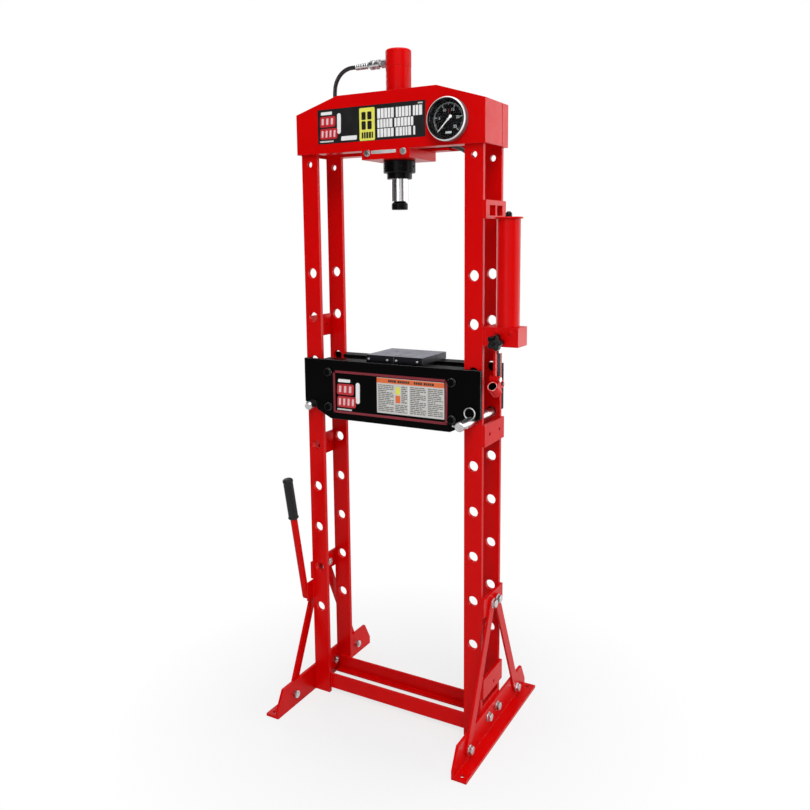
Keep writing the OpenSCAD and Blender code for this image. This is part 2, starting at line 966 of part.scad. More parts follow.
// Block with the link that hangs down to the lever's fulcrum
module pump_block() {
    color(RED)
        difference() {
            union() {
                translate([block_x0, block_y0, pump_z])
                    cube([block_l, block_w, block_h]);
                translate([plunger_x - link_t / 2, fulcrum_y - link_w / 2, fulcrum_z])
                    cube([link_t, link_w, pump_z - fulcrum_z + 1]);
                translate([plunger_x - eye_w / 2, fulcrum_y, fulcrum_z])
                    rotate([0, 90, 0])
                        cylinder(d = eye_d, h = eye_w);
                for (x = plug_x)
                    translate([x, block_y0 + 1, plug_z])
                        rotate([90, 0, 0])
                            cylinder(d1 = plug_d, d2 = plug_d - 3, h = 4);
            }
            translate([plunger_x, plunger_y, pump_z - 1])
                cylinder(d = plunger_d + 2 * running, h = plunger_bore_top - pump_z + 1);
            hole_x(fulcrum_y, fulcrum_z, fulcrum_pin_d + 2 * running);
            translate([knob_x, block_y0 + stem_in, knob_z])
                rotate([90, 0, 0])
                    cylinder(d = valve_d + 2 * running, h = stem_in + 1);
        }
}

module plunger_gland() {
    gland_h = 18;
    gland_af = plunger_d + 9;
    color(ZINC)
        translate([plunger_x, plunger_y, pump_z - gland_h])
            difference() {
                cylinder(d = gland_af / cos(30), h = gland_h, $fn = 6);
                translate([0, 0, -1])
                    cylinder(d = plunger_d + 2 * running, h = gland_h + 2);
            }
}

module reservoir() {
    color(RED)
        translate([tank_x, tank_y, tank_z])
            difference() {
                cylinder(d = tank_d, h = tank_h);
                translate([0, 0, tank_wall])
                    cylinder(d = tank_d - 2 * tank_wall, h = tank_h);
            }
}

module reservoir_cap() {
    color(RED)
        translate([tank_x, tank_y, tank_z + tank_h])
            difference() {
                union() {
                    cylinder(d = tank_d + 11, h = tank_cap_t);
                    translate([0, 0, -8])
                        cylinder(d = tank_d - 2 * tank_wall - 0.2, h = 9);
                }
                translate([0, 0, -9])
                    cylinder(d = 10.2, h = 20);
            }
}

module filler_plug() {
    color("#3a3a3d")
        translate([tank_x, tank_y, tank_z + tank_h + tank_cap_t]) {
            cylinder(d = 15, h = 9);
            translate([0, 0, 9])
                cylinder(d1 = 15, d2 = 9, h = 3);
            translate([0, 0, -10])
                cylinder(d = 10, h = 11);
        }
}

module pump_plunger() {
    pin_half = cheek_in + cheek_t + 1.5;
    color(CHROME)
        translate([plunger_x, plunger_y, link_z]) {
            cylinder(d = plunger_d, h = plunger_top - link_z);
            translate([-eye_w / 2, 0, 0])
                rotate([0, 90, 0])
                    cylinder(d = eye_d, h = eye_w);
            translate([-pin_half, 0, 0])
                rotate([0, 90, 0])
                    cylinder(d = link_pin_d, h = 2 * pin_half);
        }
}

// Puts children at the fulcrum, with +Y running along the lever from the socket's mouth
module at_lever() {
    translate([plunger_x, fulcrum_y, fulcrum_z])
        rotate([-lever_tilt, 0, 0])
            children();
}

module cheek_outline() {
    circle(r = cheek_r);
    translate([slot_reach + 3, 0])
        circle(r = cheek_r);
    translate([0, -socket_drop])
        square([slot_reach + 3, socket_drop + cheek_r]);
}

// Handle socket with two cheeks on the fulcrum pin and a slot for the plunger's pin
module lever_socket() {
    slot_h = link_pin_d + slot_play;
    color(RED)
        at_lever()
            difference() {
                union() {
                    for (s = [-1, 1])
                        plate_yz(s * (cheek_in + cheek_t / 2) - cheek_t / 2, cheek_t)
                            cheek_outline();
                    translate([0, -socket_out, -socket_drop])
                        rotate([-90, 0, 0])
                            cylinder(d = socket_d, h = socket_l + socket_wall);
                }
                hole_x(0, 0, fulcrum_pin_d + 2 * running);
                for (y = [slot_reach - slot_in, slot_reach + slot_out])
                    hole_x(y, slot_rise, slot_h);
                translate([-through_l / 2, slot_reach - slot_in, slot_rise - slot_h / 2])
                    cube([through_l, slot_in + slot_out, slot_h]);
                translate([0, -socket_out - 1, -socket_drop])
                    rotate([-90, 0, 0])
                        cylinder(d = socket_bore, h = socket_l + 1);
            }
}

module fulcrum_pin() {
    pin_half = cheek_in + cheek_t + 1;
    color(ZINC)
        translate([plunger_x - pin_half, fulcrum_y, fulcrum_z])
            rotate([0, 90, 0]) {
                cylinder(d = fulcrum_pin_d, h = 2 * pin_half);
                translate([0, 0, 2 * pin_half])
                    cylinder(d = fulcrum_pin_d + 4, h = 2);
            }
}

module release_knob() {
    lobes = 5;
    lobe_d = knob_d * 0.32;
    color(BLACK)
        translate([knob_x, block_y0, knob_z])
            rotate([90, 0, 0]) {
                translate([0, 0, 1 - stem_in])
                    cylinder(d = valve_d, h = stem_in + knob_neck);
                translate([0, 0, knob_neck - 4])
                    cylinder(d = valve_d + 6, h = 5);
                translate([0, 0, knob_neck])
                    linear_extrude(knob_h)
                        union() {
                            circle(d = knob_d - 1.5 * lobe_d);
                            for (a = [0:360 / lobes:359])
                                rotate(a)
                                    knob_lobe((knob_d - lobe_d) / 2, lobe_d);
                        }
            }
}

// Round-ended lobe reaching out to a distance of r
module knob_lobe(r, d) {
    translate([0, -d / 2])
        square([r, d]);
    translate([r, 0])
        circle(d = d);
}

// ---------- bed ----------

module bed_outline() {
    difference() {
        polygon([
            [-bed_half, bed_top], [bed_half, bed_top],
            [bed_half, bed_z + bed_cut_z], [bed_half - bed_cut_x, bed_z],
            [-bed_half + bed_cut_x, bed_z], [-bed_half, bed_z + bed_cut_z]
        ]);
        for (s = [-1, 1]) {
            translate([s * post_x, pin_z])
                circle(d = pin_d + 2 * seat);
            translate([s * post_x - pin_d / 2 - seat, pin_z - bed_cut_z])
                square([pin_d + 2 * seat, bed_cut_z]);
        }
    }
}

// Web with a flange along its top and bottom edges, pointing at the other plate
module bed_plate(e) {
    color(BLACK)
        on_front(e)
            difference() {
                union() {
                    plate_xz(-bed_out, bed_t)
                        bed_outline();
                    translate([-bed_lip_end, -bed_out, bed_top - bed_t])
                        cube([2 * bed_lip_end, bed_lip + bed_t, bed_t]);
                    translate([-bed_half + bed_cut_x, -bed_out, bed_z])
                        cube([2 * (bed_half - bed_cut_x), bed_lip + bed_t, bed_t]);
                }
                for (s = [-1, 1]) for (z = spacer_z)
                    hole_y(s * spacer_x, z, spacer_bolt + bolt_play);
            }
}

module bed_front() { bed_plate(-1); }
module bed_rear() { bed_plate(1); }

// Spacer tubes with a bolt head at each end
module bed_spacers() {
    color(BLACK)
        for (s = [-1, 1]) for (z = spacer_z)
            translate([s * spacer_x, 0, z])
                rotate([90, 0, 0]) {
                    cylinder(d = spacer_d, h = 2 * bed_in, center = true);
                    cylinder(d = spacer_bolt, h = 2 * bed_out, center = true);
                    for (e = [-1, 1])
                        translate([0, 0, e * (bed_out + 3.5)])
                            cylinder(d = 18 / cos(30), h = 7, center = true, $fn = 6);
                }
}

// Two loose plates side by side across the bed, pushed a little to the rear
module arbor_plates() {
    color(STEEL)
        for (s = [-1, 1])
            translate([arbor_shift_x + s * (arbor_w + arbor_gap) / 2, arbor_shift_y, bed_top])
                linear_extrude(arbor_t)
                    square([arbor_w, arbor_l], center = true);
}

// Pin with a cross peg at its head and a pull ring in a groove
module bed_pin(s) {
    e = s > 0 ? -1 : 1;
    head_y = s > 0 ? -pin_head_y : pin_head_y - 14;
    color(ZINC)
        translate([s * post_x, 0, pin_z]) {
            difference() {
                translate([0, head_y, 0])
                    rotate([e > 0 ? 90 : -90, 0, 0])
                        rotate_extrude()
                            polygon([
                                [0, 0], [pin_d / 2 - 1.5, 0], [pin_d / 2, 1.5],
                                [pin_d / 2, pin_l - 4], [pin_d / 2 - 4, pin_l], [0, pin_l]
                            ]);
                translate([-pin_d, e * ring_y - 2, groove_z])
                    cube([2 * pin_d, 4, pin_d]);
                translate([0, head_y - e * 6, 0])
                    rotate([0, 90, 0])
                        cylinder(d = peg_d, h = 2 * pin_d, center = true);
            }
            translate([0, head_y - e * 6, 0])
                rotate([0, 90, 0])
                    cylinder(d = peg_d, h = pin_d + 16, center = true);
            translate([0, e * ring_y, groove_z + seat + ring_wire / 2 + ring_r])
                rotate([90, 0, 0])
                    rotate_extrude()
                        translate([ring_r, 0])
                            circle(d = ring_wire, $fn = 24);
        }
}

module bed_pin_left() { bed_pin(-1); }
module bed_pin_right() { bed_pin(1); }

// ---------- stored handle ----------

// Puts children with +Z along the leaning handle, from its lower end
module at_handle() {
    translate(handle_foot)
        rotate([handle_tilt, 0, 0])
            children();
}

module handle_tube() {
    color(RED)
        at_handle()
            difference() {
                cylinder(d = handle_d, h = handle_l - 4);
                translate([0, 0, -1])
                    cylinder(d = handle_bore, h = handle_l - 10);
            }
}

module handle_grip() {
    color(BLACK)
        at_handle()
            translate([0, 0, handle_l - grip_l])
                difference() {
                    rotate_extrude()
                        polygon([
                            [0, 0], [grip_d / 2 - 2, 0], [grip_d / 2, 2], [grip_d / 2 - 1.5, 14],
                            [grip_d / 2 - 1.5, grip_l - 12], [grip_d / 2, grip_l - 4],
                            [grip_d / 2 - 3, grip_l], [0, grip_l]
                        ]);
                    translate([0, 0, -1])
                        cylinder(d = handle_d + 0.2, h = grip_l - 3);
                }
}

// Tab on the left upright with an upturned peg that the stored handle stands on
module handle_clip() {
    arm_d = 9;
    arm_end = handle_bore / 2;
    color(RED) {
        plate_yz(-outer_x - tab_t, tab_t)
            translate([handle_foot[1] - arm_d, handle_foot[2] - tab_drop])
                square([handle_out + arm_d + post_t, tab_h]);
        at_handle()
            translate([0, 0, -seat - arm_d / 2]) {
                translate([-arm_end, 0, 0])
                    rotate([0, 90, 0])
                        cylinder(d = arm_d, h = handle_x - outer_x + arm_end - tab_t / 2);
                cylinder(d = handle_bore - 2, h = peg_h);
            }
    }
}

post_front_left();
post_front_right();
post_rear_left();
post_rear_right();
foot_left();
foot_right();
cross_member_front();
cross_member_rear();
side_plates_left();
side_plate_right_upper();
side_plate_right_lower();
base_plate_right();
brace_plates();
foot_plates();
brace_front_left();
brace_front_right();
brace_rear_left();
brace_rear_right();
beam_front();
beam_rear();
ram_holder();
frame_bolts();
ram_cylinder();
ram_cap();
ram_collar();
ram_gland();
ram_rod();
ram_piston();
piston_seal();
ram_saddle();
return_spring();
ram_coupler();
hose();
hose_ferrules();
gauge_case();
gauge_bezel();
gauge_dial();
gauge_needle();
gauge_lens();
gauge_line();
pump_bracket();
pump_block();
plunger_gland();
reservoir();
reservoir_cap();
filler_plug();
pump_plunger();
lever_socket();
fulcrum_pin();
release_knob();
bed_front();
bed_rear();
bed_spacers();
arbor_plates();
bed_pin_left();
bed_pin_right();
handle_clip();
handle_tube();
handle_grip();
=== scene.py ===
"""Looks of the hand pump hydraulic press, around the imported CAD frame.

Camera, lamps and shader sizes are in metres, with +Z up and the front towards -Y. Forms are
given in millimetres, as in the part's source, and MM brings them to metres.
"""
import itertools
import json
import math
import random

import bmesh
import bpy
from mathutils import Matrix, Vector


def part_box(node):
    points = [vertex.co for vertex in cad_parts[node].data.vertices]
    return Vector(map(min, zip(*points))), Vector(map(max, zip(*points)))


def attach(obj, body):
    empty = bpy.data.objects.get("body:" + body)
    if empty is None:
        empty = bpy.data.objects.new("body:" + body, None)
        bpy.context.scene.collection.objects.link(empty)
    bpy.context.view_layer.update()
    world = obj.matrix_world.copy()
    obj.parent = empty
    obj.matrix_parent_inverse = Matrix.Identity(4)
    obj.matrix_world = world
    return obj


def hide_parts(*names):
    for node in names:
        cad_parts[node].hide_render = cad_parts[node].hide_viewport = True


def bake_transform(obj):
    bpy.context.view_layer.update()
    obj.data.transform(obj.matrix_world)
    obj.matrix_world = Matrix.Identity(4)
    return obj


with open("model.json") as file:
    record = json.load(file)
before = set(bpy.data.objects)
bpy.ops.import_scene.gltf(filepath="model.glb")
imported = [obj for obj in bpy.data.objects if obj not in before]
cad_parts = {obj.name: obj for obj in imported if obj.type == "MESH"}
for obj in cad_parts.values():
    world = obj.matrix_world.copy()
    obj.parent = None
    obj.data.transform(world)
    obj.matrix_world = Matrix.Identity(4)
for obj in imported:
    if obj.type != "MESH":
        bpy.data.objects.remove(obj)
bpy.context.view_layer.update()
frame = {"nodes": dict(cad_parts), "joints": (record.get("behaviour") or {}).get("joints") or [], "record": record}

NODES = frame["nodes"]
JOINTS = {joint["name"]: joint for joint in frame["joints"]}
MOUNTS = {mount["name"]: mount for mount in frame["record"]["mounts"]}
COLLECTION = bpy.context.scene.collection
MM = 0.001

# ---------------------------------------------------------------- camera

CAMERA_PLACE = (0.9634, -1.7181, 1.2029)
CAMERA_TURN = 29.01   # degrees from straight ahead, towards the press's left side
CAMERA_DOWN = 8.28    # degrees below the horizon
CAMERA_ROLL = -0.52   # degrees about the line of sight
CAMERA_LENS = 35.87   # mm
CAMERA_SENSOR = 36.0  # mm
CAMERA_SHIFT = -0.06  # the middle of the photo lies below the lens's axis


def make_camera():
    data = bpy.data.cameras.new("camera")
    data.lens = CAMERA_LENS
    data.sensor_width = CAMERA_SENSOR
    data.shift_y = CAMERA_SHIFT
    camera = bpy.data.objects.new("camera", data)
    COLLECTION.objects.link(camera)
    turn = Matrix.Rotation(math.radians(CAMERA_TURN), 4, "Z")
    tilt = Matrix.Rotation(math.radians(90 - CAMERA_DOWN), 4, "X")
    roll = Matrix.Rotation(math.radians(CAMERA_ROLL), 4, "Z")
    camera.matrix_world = Matrix.Translation(CAMERA_PLACE) @ turn @ tilt @ roll
    bpy.context.scene.camera = camera


make_camera()

# ---------------------------------------------------------------- hose

HOSE_DIAMETER = 0.010
HOSE_ROUTE = [
    (-116, 0, 1613), (-134, 0, 1613), (-152, 1, 1608), (-168, 3, 1597), (-180, 6, 1581),
    (-186, 10, 1562), (-188, 14, 1540), (-188, 19, 1516), (-185, 25, 1492), (-178, 31, 1469),
    (-165, 37, 1448), (-147, 42, 1432), (-125, 45, 1423), (-100, 46, 1420), (-70, 46, 1420),
    (-35, 46, 1420), (0, 46, 1420), (35, 46, 1420), (70, 46, 1420), (100, 46, 1420),
    (124, 47, 1417), (145, 50, 1408), (163, 55, 1393), (177, 61, 1373), (188, 68, 1349),
    (196, 74, 1323), (203, 79, 1294), (209, 82, 1262), (216, 83, 1228), (224, 83, 1192),
    (233, 83, 1156), (243, 83, 1120), (252, 84, 1088), (259, 84, 1062), (262, 84, 1038),
    (262, 80, 1019), (262, 69, 1003), (262, 53, 992), (262, 34, 988),
]


def smooth_route(points, parts):
    """A smooth curve through the points, each stretch cut into parts."""
    route = []
    last = len(points) - 1
    for i in range(last):
        a, b, c, d = points[max(i - 1, 0)], points[i], points[i + 1], points[min(i + 2, last)]
        for k in range(parts):
            f = k / parts
            route.append(0.5 * (2 * b + (c - a) * f + (2 * a - 5 * b + 4 * c - d) * f * f
                                + (3 * b - a - 3 * c + d) * f ** 3))
    return route + [points[last]]


def mesh_of(name, data):
    """The mesh that a curve or a text makes. The curve or text itself is removed."""
    shape = bpy.data.objects.new(name, data)
    COLLECTION.objects.link(shape)
    bpy.context.view_layer.update()
    shown = shape.evaluated_get(bpy.context.evaluated_depsgraph_get())
    mesh = bpy.data.meshes.new_from_object(shown)
    bpy.data.objects.remove(shape)
    bpy.data.curves.remove(data)
    mesh.name = name
    return mesh


def make_hose():
    route = smooth_route([Vector(p) * MM for p in HOSE_ROUTE], 4)
    curve = bpy.data.curves.new("hose_line", "CURVE")
    curve.dimensions = "3D"
    curve.bevel_depth = HOSE_DIAMETER / 2
    curve.bevel_resolution = 6
    curve.use_fill_caps = True
    spline = curve.splines.new("POLY")
    spline.points.add(len(route) - 1)
    for point, place in zip(spline.points, route):
        point.co = (*place, 1)
    mesh = mesh_of("hydraulic_hose", curve)
    mesh.polygons.foreach_set("use_smooth", [True] * len(mesh.polygons))
    hose = bpy.data.objects.new("hydraulic_hose", mesh)
    COLLECTION.objects.link(hose)
    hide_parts("hose")
    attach(hose, "frame")
    return hose


hose = make_hose()

# ---------------------------------------------------------------- shader nodes


class Shading:
    """A node tree under construction, with short ways to add to it."""

    def __init__(self, owner):
        owner.use_nodes = True
        self.tree = owner.node_tree

    def feed(self, socket, value):
        """Links another node's output to a socket, or sets a plain value on it."""
        if isinstance(value, bpy.types.NodeSocket):
            self.tree.links.new(value, socket)
        else:
            socket.default_value = value

    def add(self, kind, inputs=None, **settings):
        """A new node, with its inputs fed by their place or name, and its settings made."""
        node = self.tree.nodes.new("ShaderNode" + kind)
        for key, value in settings.items():
            setattr(node, key, value)
        for key, value in (inputs or {}).items():
            self.feed(node.inputs[key], value)
        return node

    def math(self, operation, a, b=0.0):
        return self.add("Math", {0: a, 1: b}, operation=operation).outputs[0]

    def vector(self, operation, a, b=(0, 0, 0)):
        """The vector that an operation gives, or the number of a length or a dot product."""
        node = self.add("VectorMath", {0: a, 1: b}, operation=operation)
        return node.outputs["Value" if operation in ("LENGTH", "DOT_PRODUCT") else "Vector"]

    def scaled(self, value, low, high, out_low=0.0, out_high=1.0):
        """A value brought from one range to another, and held inside it."""
        node = self.add("MapRange", {"Value": value, "From Min": low, "From Max": high,
                                     "To Min": out_low, "To Max": out_high})
        return node.outputs["Result"]


# ---------------------------------------------------------------- stage

FLOOR_REACH = 12.0          # half the floor's width
FLOOR_GREY = 0.62
FLOOR_FADE = (0.20, 0.75)   # how far from the middle the fade to white starts and ends
FLOOR_WHITE = 0.72          # the share of white before that fade
ROOM_DIFFUSE = 0.20         # how bright matt surfaces find the room
ROOM_GLOSSY = (0.05, 0.58)  # how bright glossy surfaces find its front and its back
ROOM_TURN = (-0.6, 0.5)     # where it turns from one to the other, from -1, the front, to 1

# Each softbox: its place, what it aims at, its width and height, and its power in watts.
SOFTBOXES = {
    "key_softbox": ((1.9, -2.9, 4.2), (0, 0, 0.8), (2.2, 2.2), 120),
    "front_softbox": ((0.4, -3.6, 1.2), (0, 0, 0.7), (1.7, 2.2), 24),
    "front_right_softbox": ((2.4, -2.9, 1.4), (0, 0, 0.7), (2.2, 2.2), 10),
    "right_softbox": ((3.2, 0.9, 1.4), (0, 0, 0.8), (2.0, 2.2), 36),
    "rear_right_softbox": ((2.1, 3.1, 1.3), (0.2, 0, 1.0), (2.2, 2.2), 38),
    "rear_left_softbox": ((-3.2, 1.8, 1.6), (0, 0, 0.8), (2.0, 2.2), 34),
    "top_softbox": ((0.2, -0.3, 3.6), (0, 0, 0.8), (2.4, 2.0), 40),
}


def make_softbox(name, place, aim, size, power):
    data = bpy.data.lights.new(name, "AREA")
    data.shape = "RECTANGLE"
    data.size, data.size_y = size
    data.energy = power
    lamp = bpy.data.objects.new(name, data)
    COLLECTION.objects.link(lamp)
    lamp.location = place
    lamp.rotation_euler = (Vector(aim) - Vector(place)).to_track_quat("-Z", "Y").to_euler()


def make_world():
    """White to the camera; to the object, a pale room that is darker on the camera's side."""
    world = bpy.data.worlds.new("studio")
    bpy.context.scene.world = world
    sky = Shading(world)
    sky.tree.nodes.clear()
    ray = sky.add("LightPath").outputs
    way = sky.add("SeparateXYZ", {0: sky.add("TexCoord").outputs["Generated"]})
    room = sky.scaled(way.outputs["Y"], *ROOM_TURN, *ROOM_GLOSSY)
    lit = sky.scaled(ray["Is Glossy Ray"], 0, 1, ROOM_DIFFUSE, room)
    clear = sky.math("MAXIMUM", ray["Is Camera Ray"], ray["Is Transmission Ray"])
    strength = sky.scaled(clear, 0, 1, lit, 1.0)
    background = sky.add("Background", {"Color": (1, 1, 1, 1), "Strength": strength})
    sky.add("OutputWorld", {0: background.outputs[0]})


def floor_material():
    """Matt grey that takes a shadow, under a white that camera and gloss see, full further out."""
    material = bpy.data.materials.new("floor")
    floor = Shading(material)
    floor.tree.nodes.clear()
    ray = floor.add("LightPath").outputs
    far = floor.vector("LENGTH", floor.add("TexCoord").outputs["Object"])
    fade = floor.scaled(far, *FLOOR_FADE, FLOOR_WHITE)
    seen = floor.math("MAXIMUM", ray["Is Camera Ray"], ray["Is Glossy Ray"])
    matt = floor.add("BsdfDiffuse", {"Color": (FLOOR_GREY, FLOOR_GREY, FLOOR_GREY, 1)})
    white = floor.add("Emission", {"Color": (1, 1, 1, 1)})
    mix = floor.add("MixShader", {0: floor.math("MULTIPLY", fade, seen), 1: matt.outputs[0],
                                  2: white.outputs[0]})
    floor.add("OutputMaterial", {0: mix.outputs[0]})
    return material


def make_floor():
    r = FLOOR_REACH
    mesh = bpy.data.meshes.new("floor")
    mesh.from_pydata([(-r, -r, 0), (r, -r, 0), (r, r, 0), (-r, r, 0)], [], [(0, 1, 2, 3)])
    mesh.materials.append(floor_material())
    floor = bpy.data.objects.new("floor", mesh)
    floor.location.z = -0.5 * MM
    COLLECTION.objects.link(floor)


bpy.context.scene.view_settings.view_transform = "Standard"
make_world()
make_floor()
for softbox, values in SOFTBOXES.items():
    make_softbox(softbox, *values)

# ---------------------------------------------------------------- materials


class Paint(Shading):
    """A material under construction, around its principled shader."""

    def __init__(self, name, **values):
        self.material = bpy.data.materials.new(name)
        super().__init__(self.material)
        self.shader = self.tree.nodes["Principled BSDF"]
        self.place = self.add("TexCoord").outputs["Object"]
        self.finish(**values)

    def finish(self, **values):
        """Feeds the shader's sockets, whose names have _ for a space, and gives the material."""
        for socket, value in values.items():
            self.feed(self.shader.inputs[socket.replace("_", " ")], value)
        return self.material

    def stretched(self, x, y, z):
        """The place on the piece, stretched along each axis."""
        return self.vector("MULTIPLY", self.place, (x, y, z))

    def noise(self, scale, detail=2.0, rough=0.5, place=None, distortion=0.0):
        node = self.add("TexNoise", {"Vector": place or self.place, "Scale": scale,
                                     "Detail": detail, "Roughness": rough,
                                     "Distortion": distortion})
        return node.outputs[0]

    def mix(self, share, a, b):
        """Colour a where the share is 0 and colour b where it is 1."""
        colours = {6: (*a, 1) if isinstance(a, tuple) else a,
                   7: (*b, 1) if isinstance(b, tuple) else b}
        return self.add("Mix", {0: share, **colours}, data_type="RGBA").outputs[2]

    def bump(self, height, strength, distance, normal=None):
        inputs = {"Height": height, "Strength": strength, "Distance": distance}
        if normal is not None:
            inputs["Normal"] = normal
        return self.add("Bump", inputs).outputs["Normal"]

    def rounded(self, radius):
        """The normal as if every edge had that radius."""
        return self.add("Bevel", {"Radius": radius}, samples=4).outputs["Normal"]

    def edges(self, rounded, gain):
        """1 on sharp edges and 0 on flats, broken up a little."""
        plain = self.add("NewGeometry").outputs["Normal"]
        sharp = self.math("SUBTRACT", 1.0, self.vector("DOT_PRODUCT", rounded, plain))
        broken = self.scaled(self.noise(90, 4), 0.35, 0.7, 0.35, 1.2)
        return self.scaled(self.math("MULTIPLY", sharp, broken), 0.0, gain)


def powder(name, level, deep, plain, edge, rough, peel):
    """Powder coat: a slight drift of colour, specks, orange peel, thin bright edges that are partly
    wear and partly painted highlight, and handling marks. Gives the paint, and its colour, which
    is still to be fed."""
    paint = Paint(name, IOR=1.5, Specular_IOR_Level=level)
    soft = paint.rounded(0.0016)
    drift = paint.scaled(paint.noise(5, 3, 0.6), 0.3, 0.7)
    speck = paint.scaled(paint.noise(1900, 1), 0.35, 0.75, 0.0, 0.35)
    body = paint.mix(paint.math("MULTIPLY", speck, 0.6), paint.mix(drift, deep, plain), deep)
    # The share of the edge colour: painted highlight along rounded edges, with a little edge wear.
    worn = paint.math("MULTIPLY", paint.edges(soft, 0.25), 0.5)
    marks = paint.scaled(paint.noise(22, 6, 0.65, distortion=0.6), 0.45, 0.72)
    fine = paint.math("MULTIPLY", paint.noise(1300, 1), 0.35)
    skin = paint.math("ADD", paint.noise(330, 2, 0.55), fine)
    paint.finish(Roughness=paint.scaled(marks, 0.0, 1.0, *rough),
                 Normal=paint.bump(skin, peel, 0.0006, soft))
    return paint, paint.mix(worn, body, edge)


def powder_coat(name, coat):
    paint, colour = powder(name, **coat)
    return paint.finish(Base_Color=colour)


def socket_paint(name, coat, bore):
    """Powder coat with painted shade darkening its bore and a painted highlight ringing its mouth."""
    way = Vector(bore["axis"])
    radius = bore["dims"]["r_mm"] * MM
    mouth = Vector(bore["pos_m"]) + way * bore["dims"]["length_mm"] / 2 * MM
    paint, plain = powder(name, **coat)
    reach = paint.vector("SUBTRACT", paint.place, mouth)
    off = paint.vector("LENGTH", paint.vector("CROSS_PRODUCT", reach, way))
    depth = paint.vector("DOT_PRODUCT", reach, way)
    # Painted shade: the bore is darkened to near black.
    inside = paint.math("MULTIPLY", paint.scaled(off, radius + 0.0002, radius + 0.0004, 1, 0),
                        paint.scaled(depth, -0.0012, -0.0006, 1, 0))
    # Painted highlight: a pale ring round the bore's mouth, broken up by noise.
    rim = paint.math("MULTIPLY", paint.scaled(off, radius + 0.0016, radius + 0.0022, 1, 0),
                     paint.scaled(depth, -0.0012, -0.0006))
    bare = paint.math("MULTIPLY", rim, paint.scaled(paint.noise(240, 3), 0.35, 0.6))
    # The paint with the painted highlight ring on it.
    worn = paint.mix(bare, plain, (0.62, 0.55, 0.50))
    return paint.finish(Base_Color=paint.mix(inside, worn, (0.006, 0.002, 0.002)))


def plated(name, tone, shade, rough, radius=0.0008, stretch=(1, 1, 1), marks=0.25):
    """Plated or ground metal: cloudy plating, fine lines along the work and small knocks."""
    paint = Paint(name, Metallic=1.0)
    cloud = paint.scaled(paint.noise(38, 4, 0.6), 0.3, 0.7)
    lines = paint.noise(900, 3, 0.6, paint.stretched(*stretch))
    knocks = paint.math("ADD", lines, paint.math("MULTIPLY", paint.noise(260, 2), 0.5))
    return paint.finish(Base_Color=paint.mix(cloud, shade, tone),
                        Roughness=paint.scaled(paint.math("ADD", cloud, lines), 0.5, 1.5, *rough),
                        Normal=paint.bump(knocks, marks, 0.0002, paint.rounded(radius)))


def bezel_chrome(centre, seal):
    """Bright satin rim with a side darkened as painted shade, and a black seal within a radius."""
    paint = Paint("bezel_chrome", Metallic=0.5)
    reach = paint.vector("SUBTRACT", paint.place, centre)
    off = paint.vector("LENGTH", paint.vector("MULTIPLY", reach, (1, 0, 1)))
    forward = paint.math("MULTIPLY", paint.add("SeparateXYZ", {0: reach}).outputs["Y"], -1.0)
    cloud = paint.scaled(paint.noise(60, 4, 0.6), 0.3, 0.7)
    rim = paint.mix(cloud, (0.86, 0.86, 0.86), (0.93, 0.93, 0.93))
    # Painted shade: the bezel's side, behind its front, is darkened.
    side = paint.scaled(forward, 0.0165, 0.0180, 1, 0)
    colour = paint.mix(side, rim, (0.20, 0.19, 0.21))
    colour = paint.mix(paint.scaled(off, seal, seal + 0.0002, 1, 0), colour, (0.004, 0.004, 0.004))
    return paint.finish(Base_Color=colour, Roughness=paint.scaled(cloud, 0.0, 1.0, 0.28, 0.40),
                        Normal=paint.bump(paint.noise(700, 3), 0.05, 0.0002, paint.rounded(0.0005)))


def arbor_steel():
    """Ground plate whose upright sides are near black as painted shade: grinding lines, pits, a
    few scratches and an oily film.
    """
    paint = Paint("arbor_steel", Metallic=0.85)
    soft = paint.rounded(0.0012)
    lines = paint.noise(700, 4, 0.65, paint.stretched(0.04, 1, 1))
    film = paint.scaled(paint.noise(26, 5, 0.6, distortion=0.8), 0.38, 0.66)
    cells = paint.add("TexVoronoi", {"Vector": paint.stretched(0.3, 1.6, 1), "Scale": 60},
                      feature="DISTANCE_TO_EDGE").outputs["Distance"]
    scratch = paint.scaled(cells, 0.0, 0.02, 1, 0)
    pits = paint.scaled(paint.noise(420, 3, 0.7), 0.52, 0.66)
    colour = paint.mix(film, (0.27, 0.27, 0.32), (0.40, 0.40, 0.47))
    colour = paint.mix(paint.math("MULTIPLY", pits, 0.5), colour, (0.12, 0.12, 0.15))
    colour = paint.mix(paint.math("MULTIPLY", scratch, 0.35), colour, (0.55, 0.55, 0.60))
    # Painted shade: faces that stand upright, the plate's sides, are darkened to near black.
    turn = paint.add("SeparateXYZ", {0: paint.add("TexCoord").outputs["Normal"]})
    upright = paint.scaled(paint.math("ABSOLUTE", turn.outputs["Z"]), 0.3, 0.7, 1, 0)
    colour = paint.mix(upright, colour, (0.012, 0.012, 0.016))
    colour = paint.mix(paint.edges(soft, 0.3), colour, (0.36, 0.36, 0.40))
    rough = paint.scaled(paint.math("ADD", film, lines), 0.4, 1.6, 0.5, 0.34)
    normal = paint.bump(paint.math("ADD", lines, scratch), 0.3, 0.0002, soft)
    return paint.finish(Base_Color=colour, Roughness=rough, Normal=normal)


def oxide(name, tone):
    """Black oxide on turned steel: lathe rings, a dull sheen and worn edges."""
    paint = Paint(name, Specular_IOR_Level=0.08)
    soft = paint.rounded(0.001)
    rings = paint.noise(1200, 2, 0.5, paint.stretched(0.05, 0.05, 1))
    light = tuple(2.2 * c for c in tone)
    colour = paint.mix(paint.scaled(paint.noise(60, 3), 0.35, 0.7), tone, light)
    colour = paint.mix(paint.edges(soft, 0.35), colour, (0.16, 0.16, 0.17))
    return paint.finish(Base_Color=colour, Roughness=paint.scaled(rings, 0.3, 0.7, 0.20, 0.32),
                        Normal=paint.bump(rings, 0.25, 0.0002, soft))


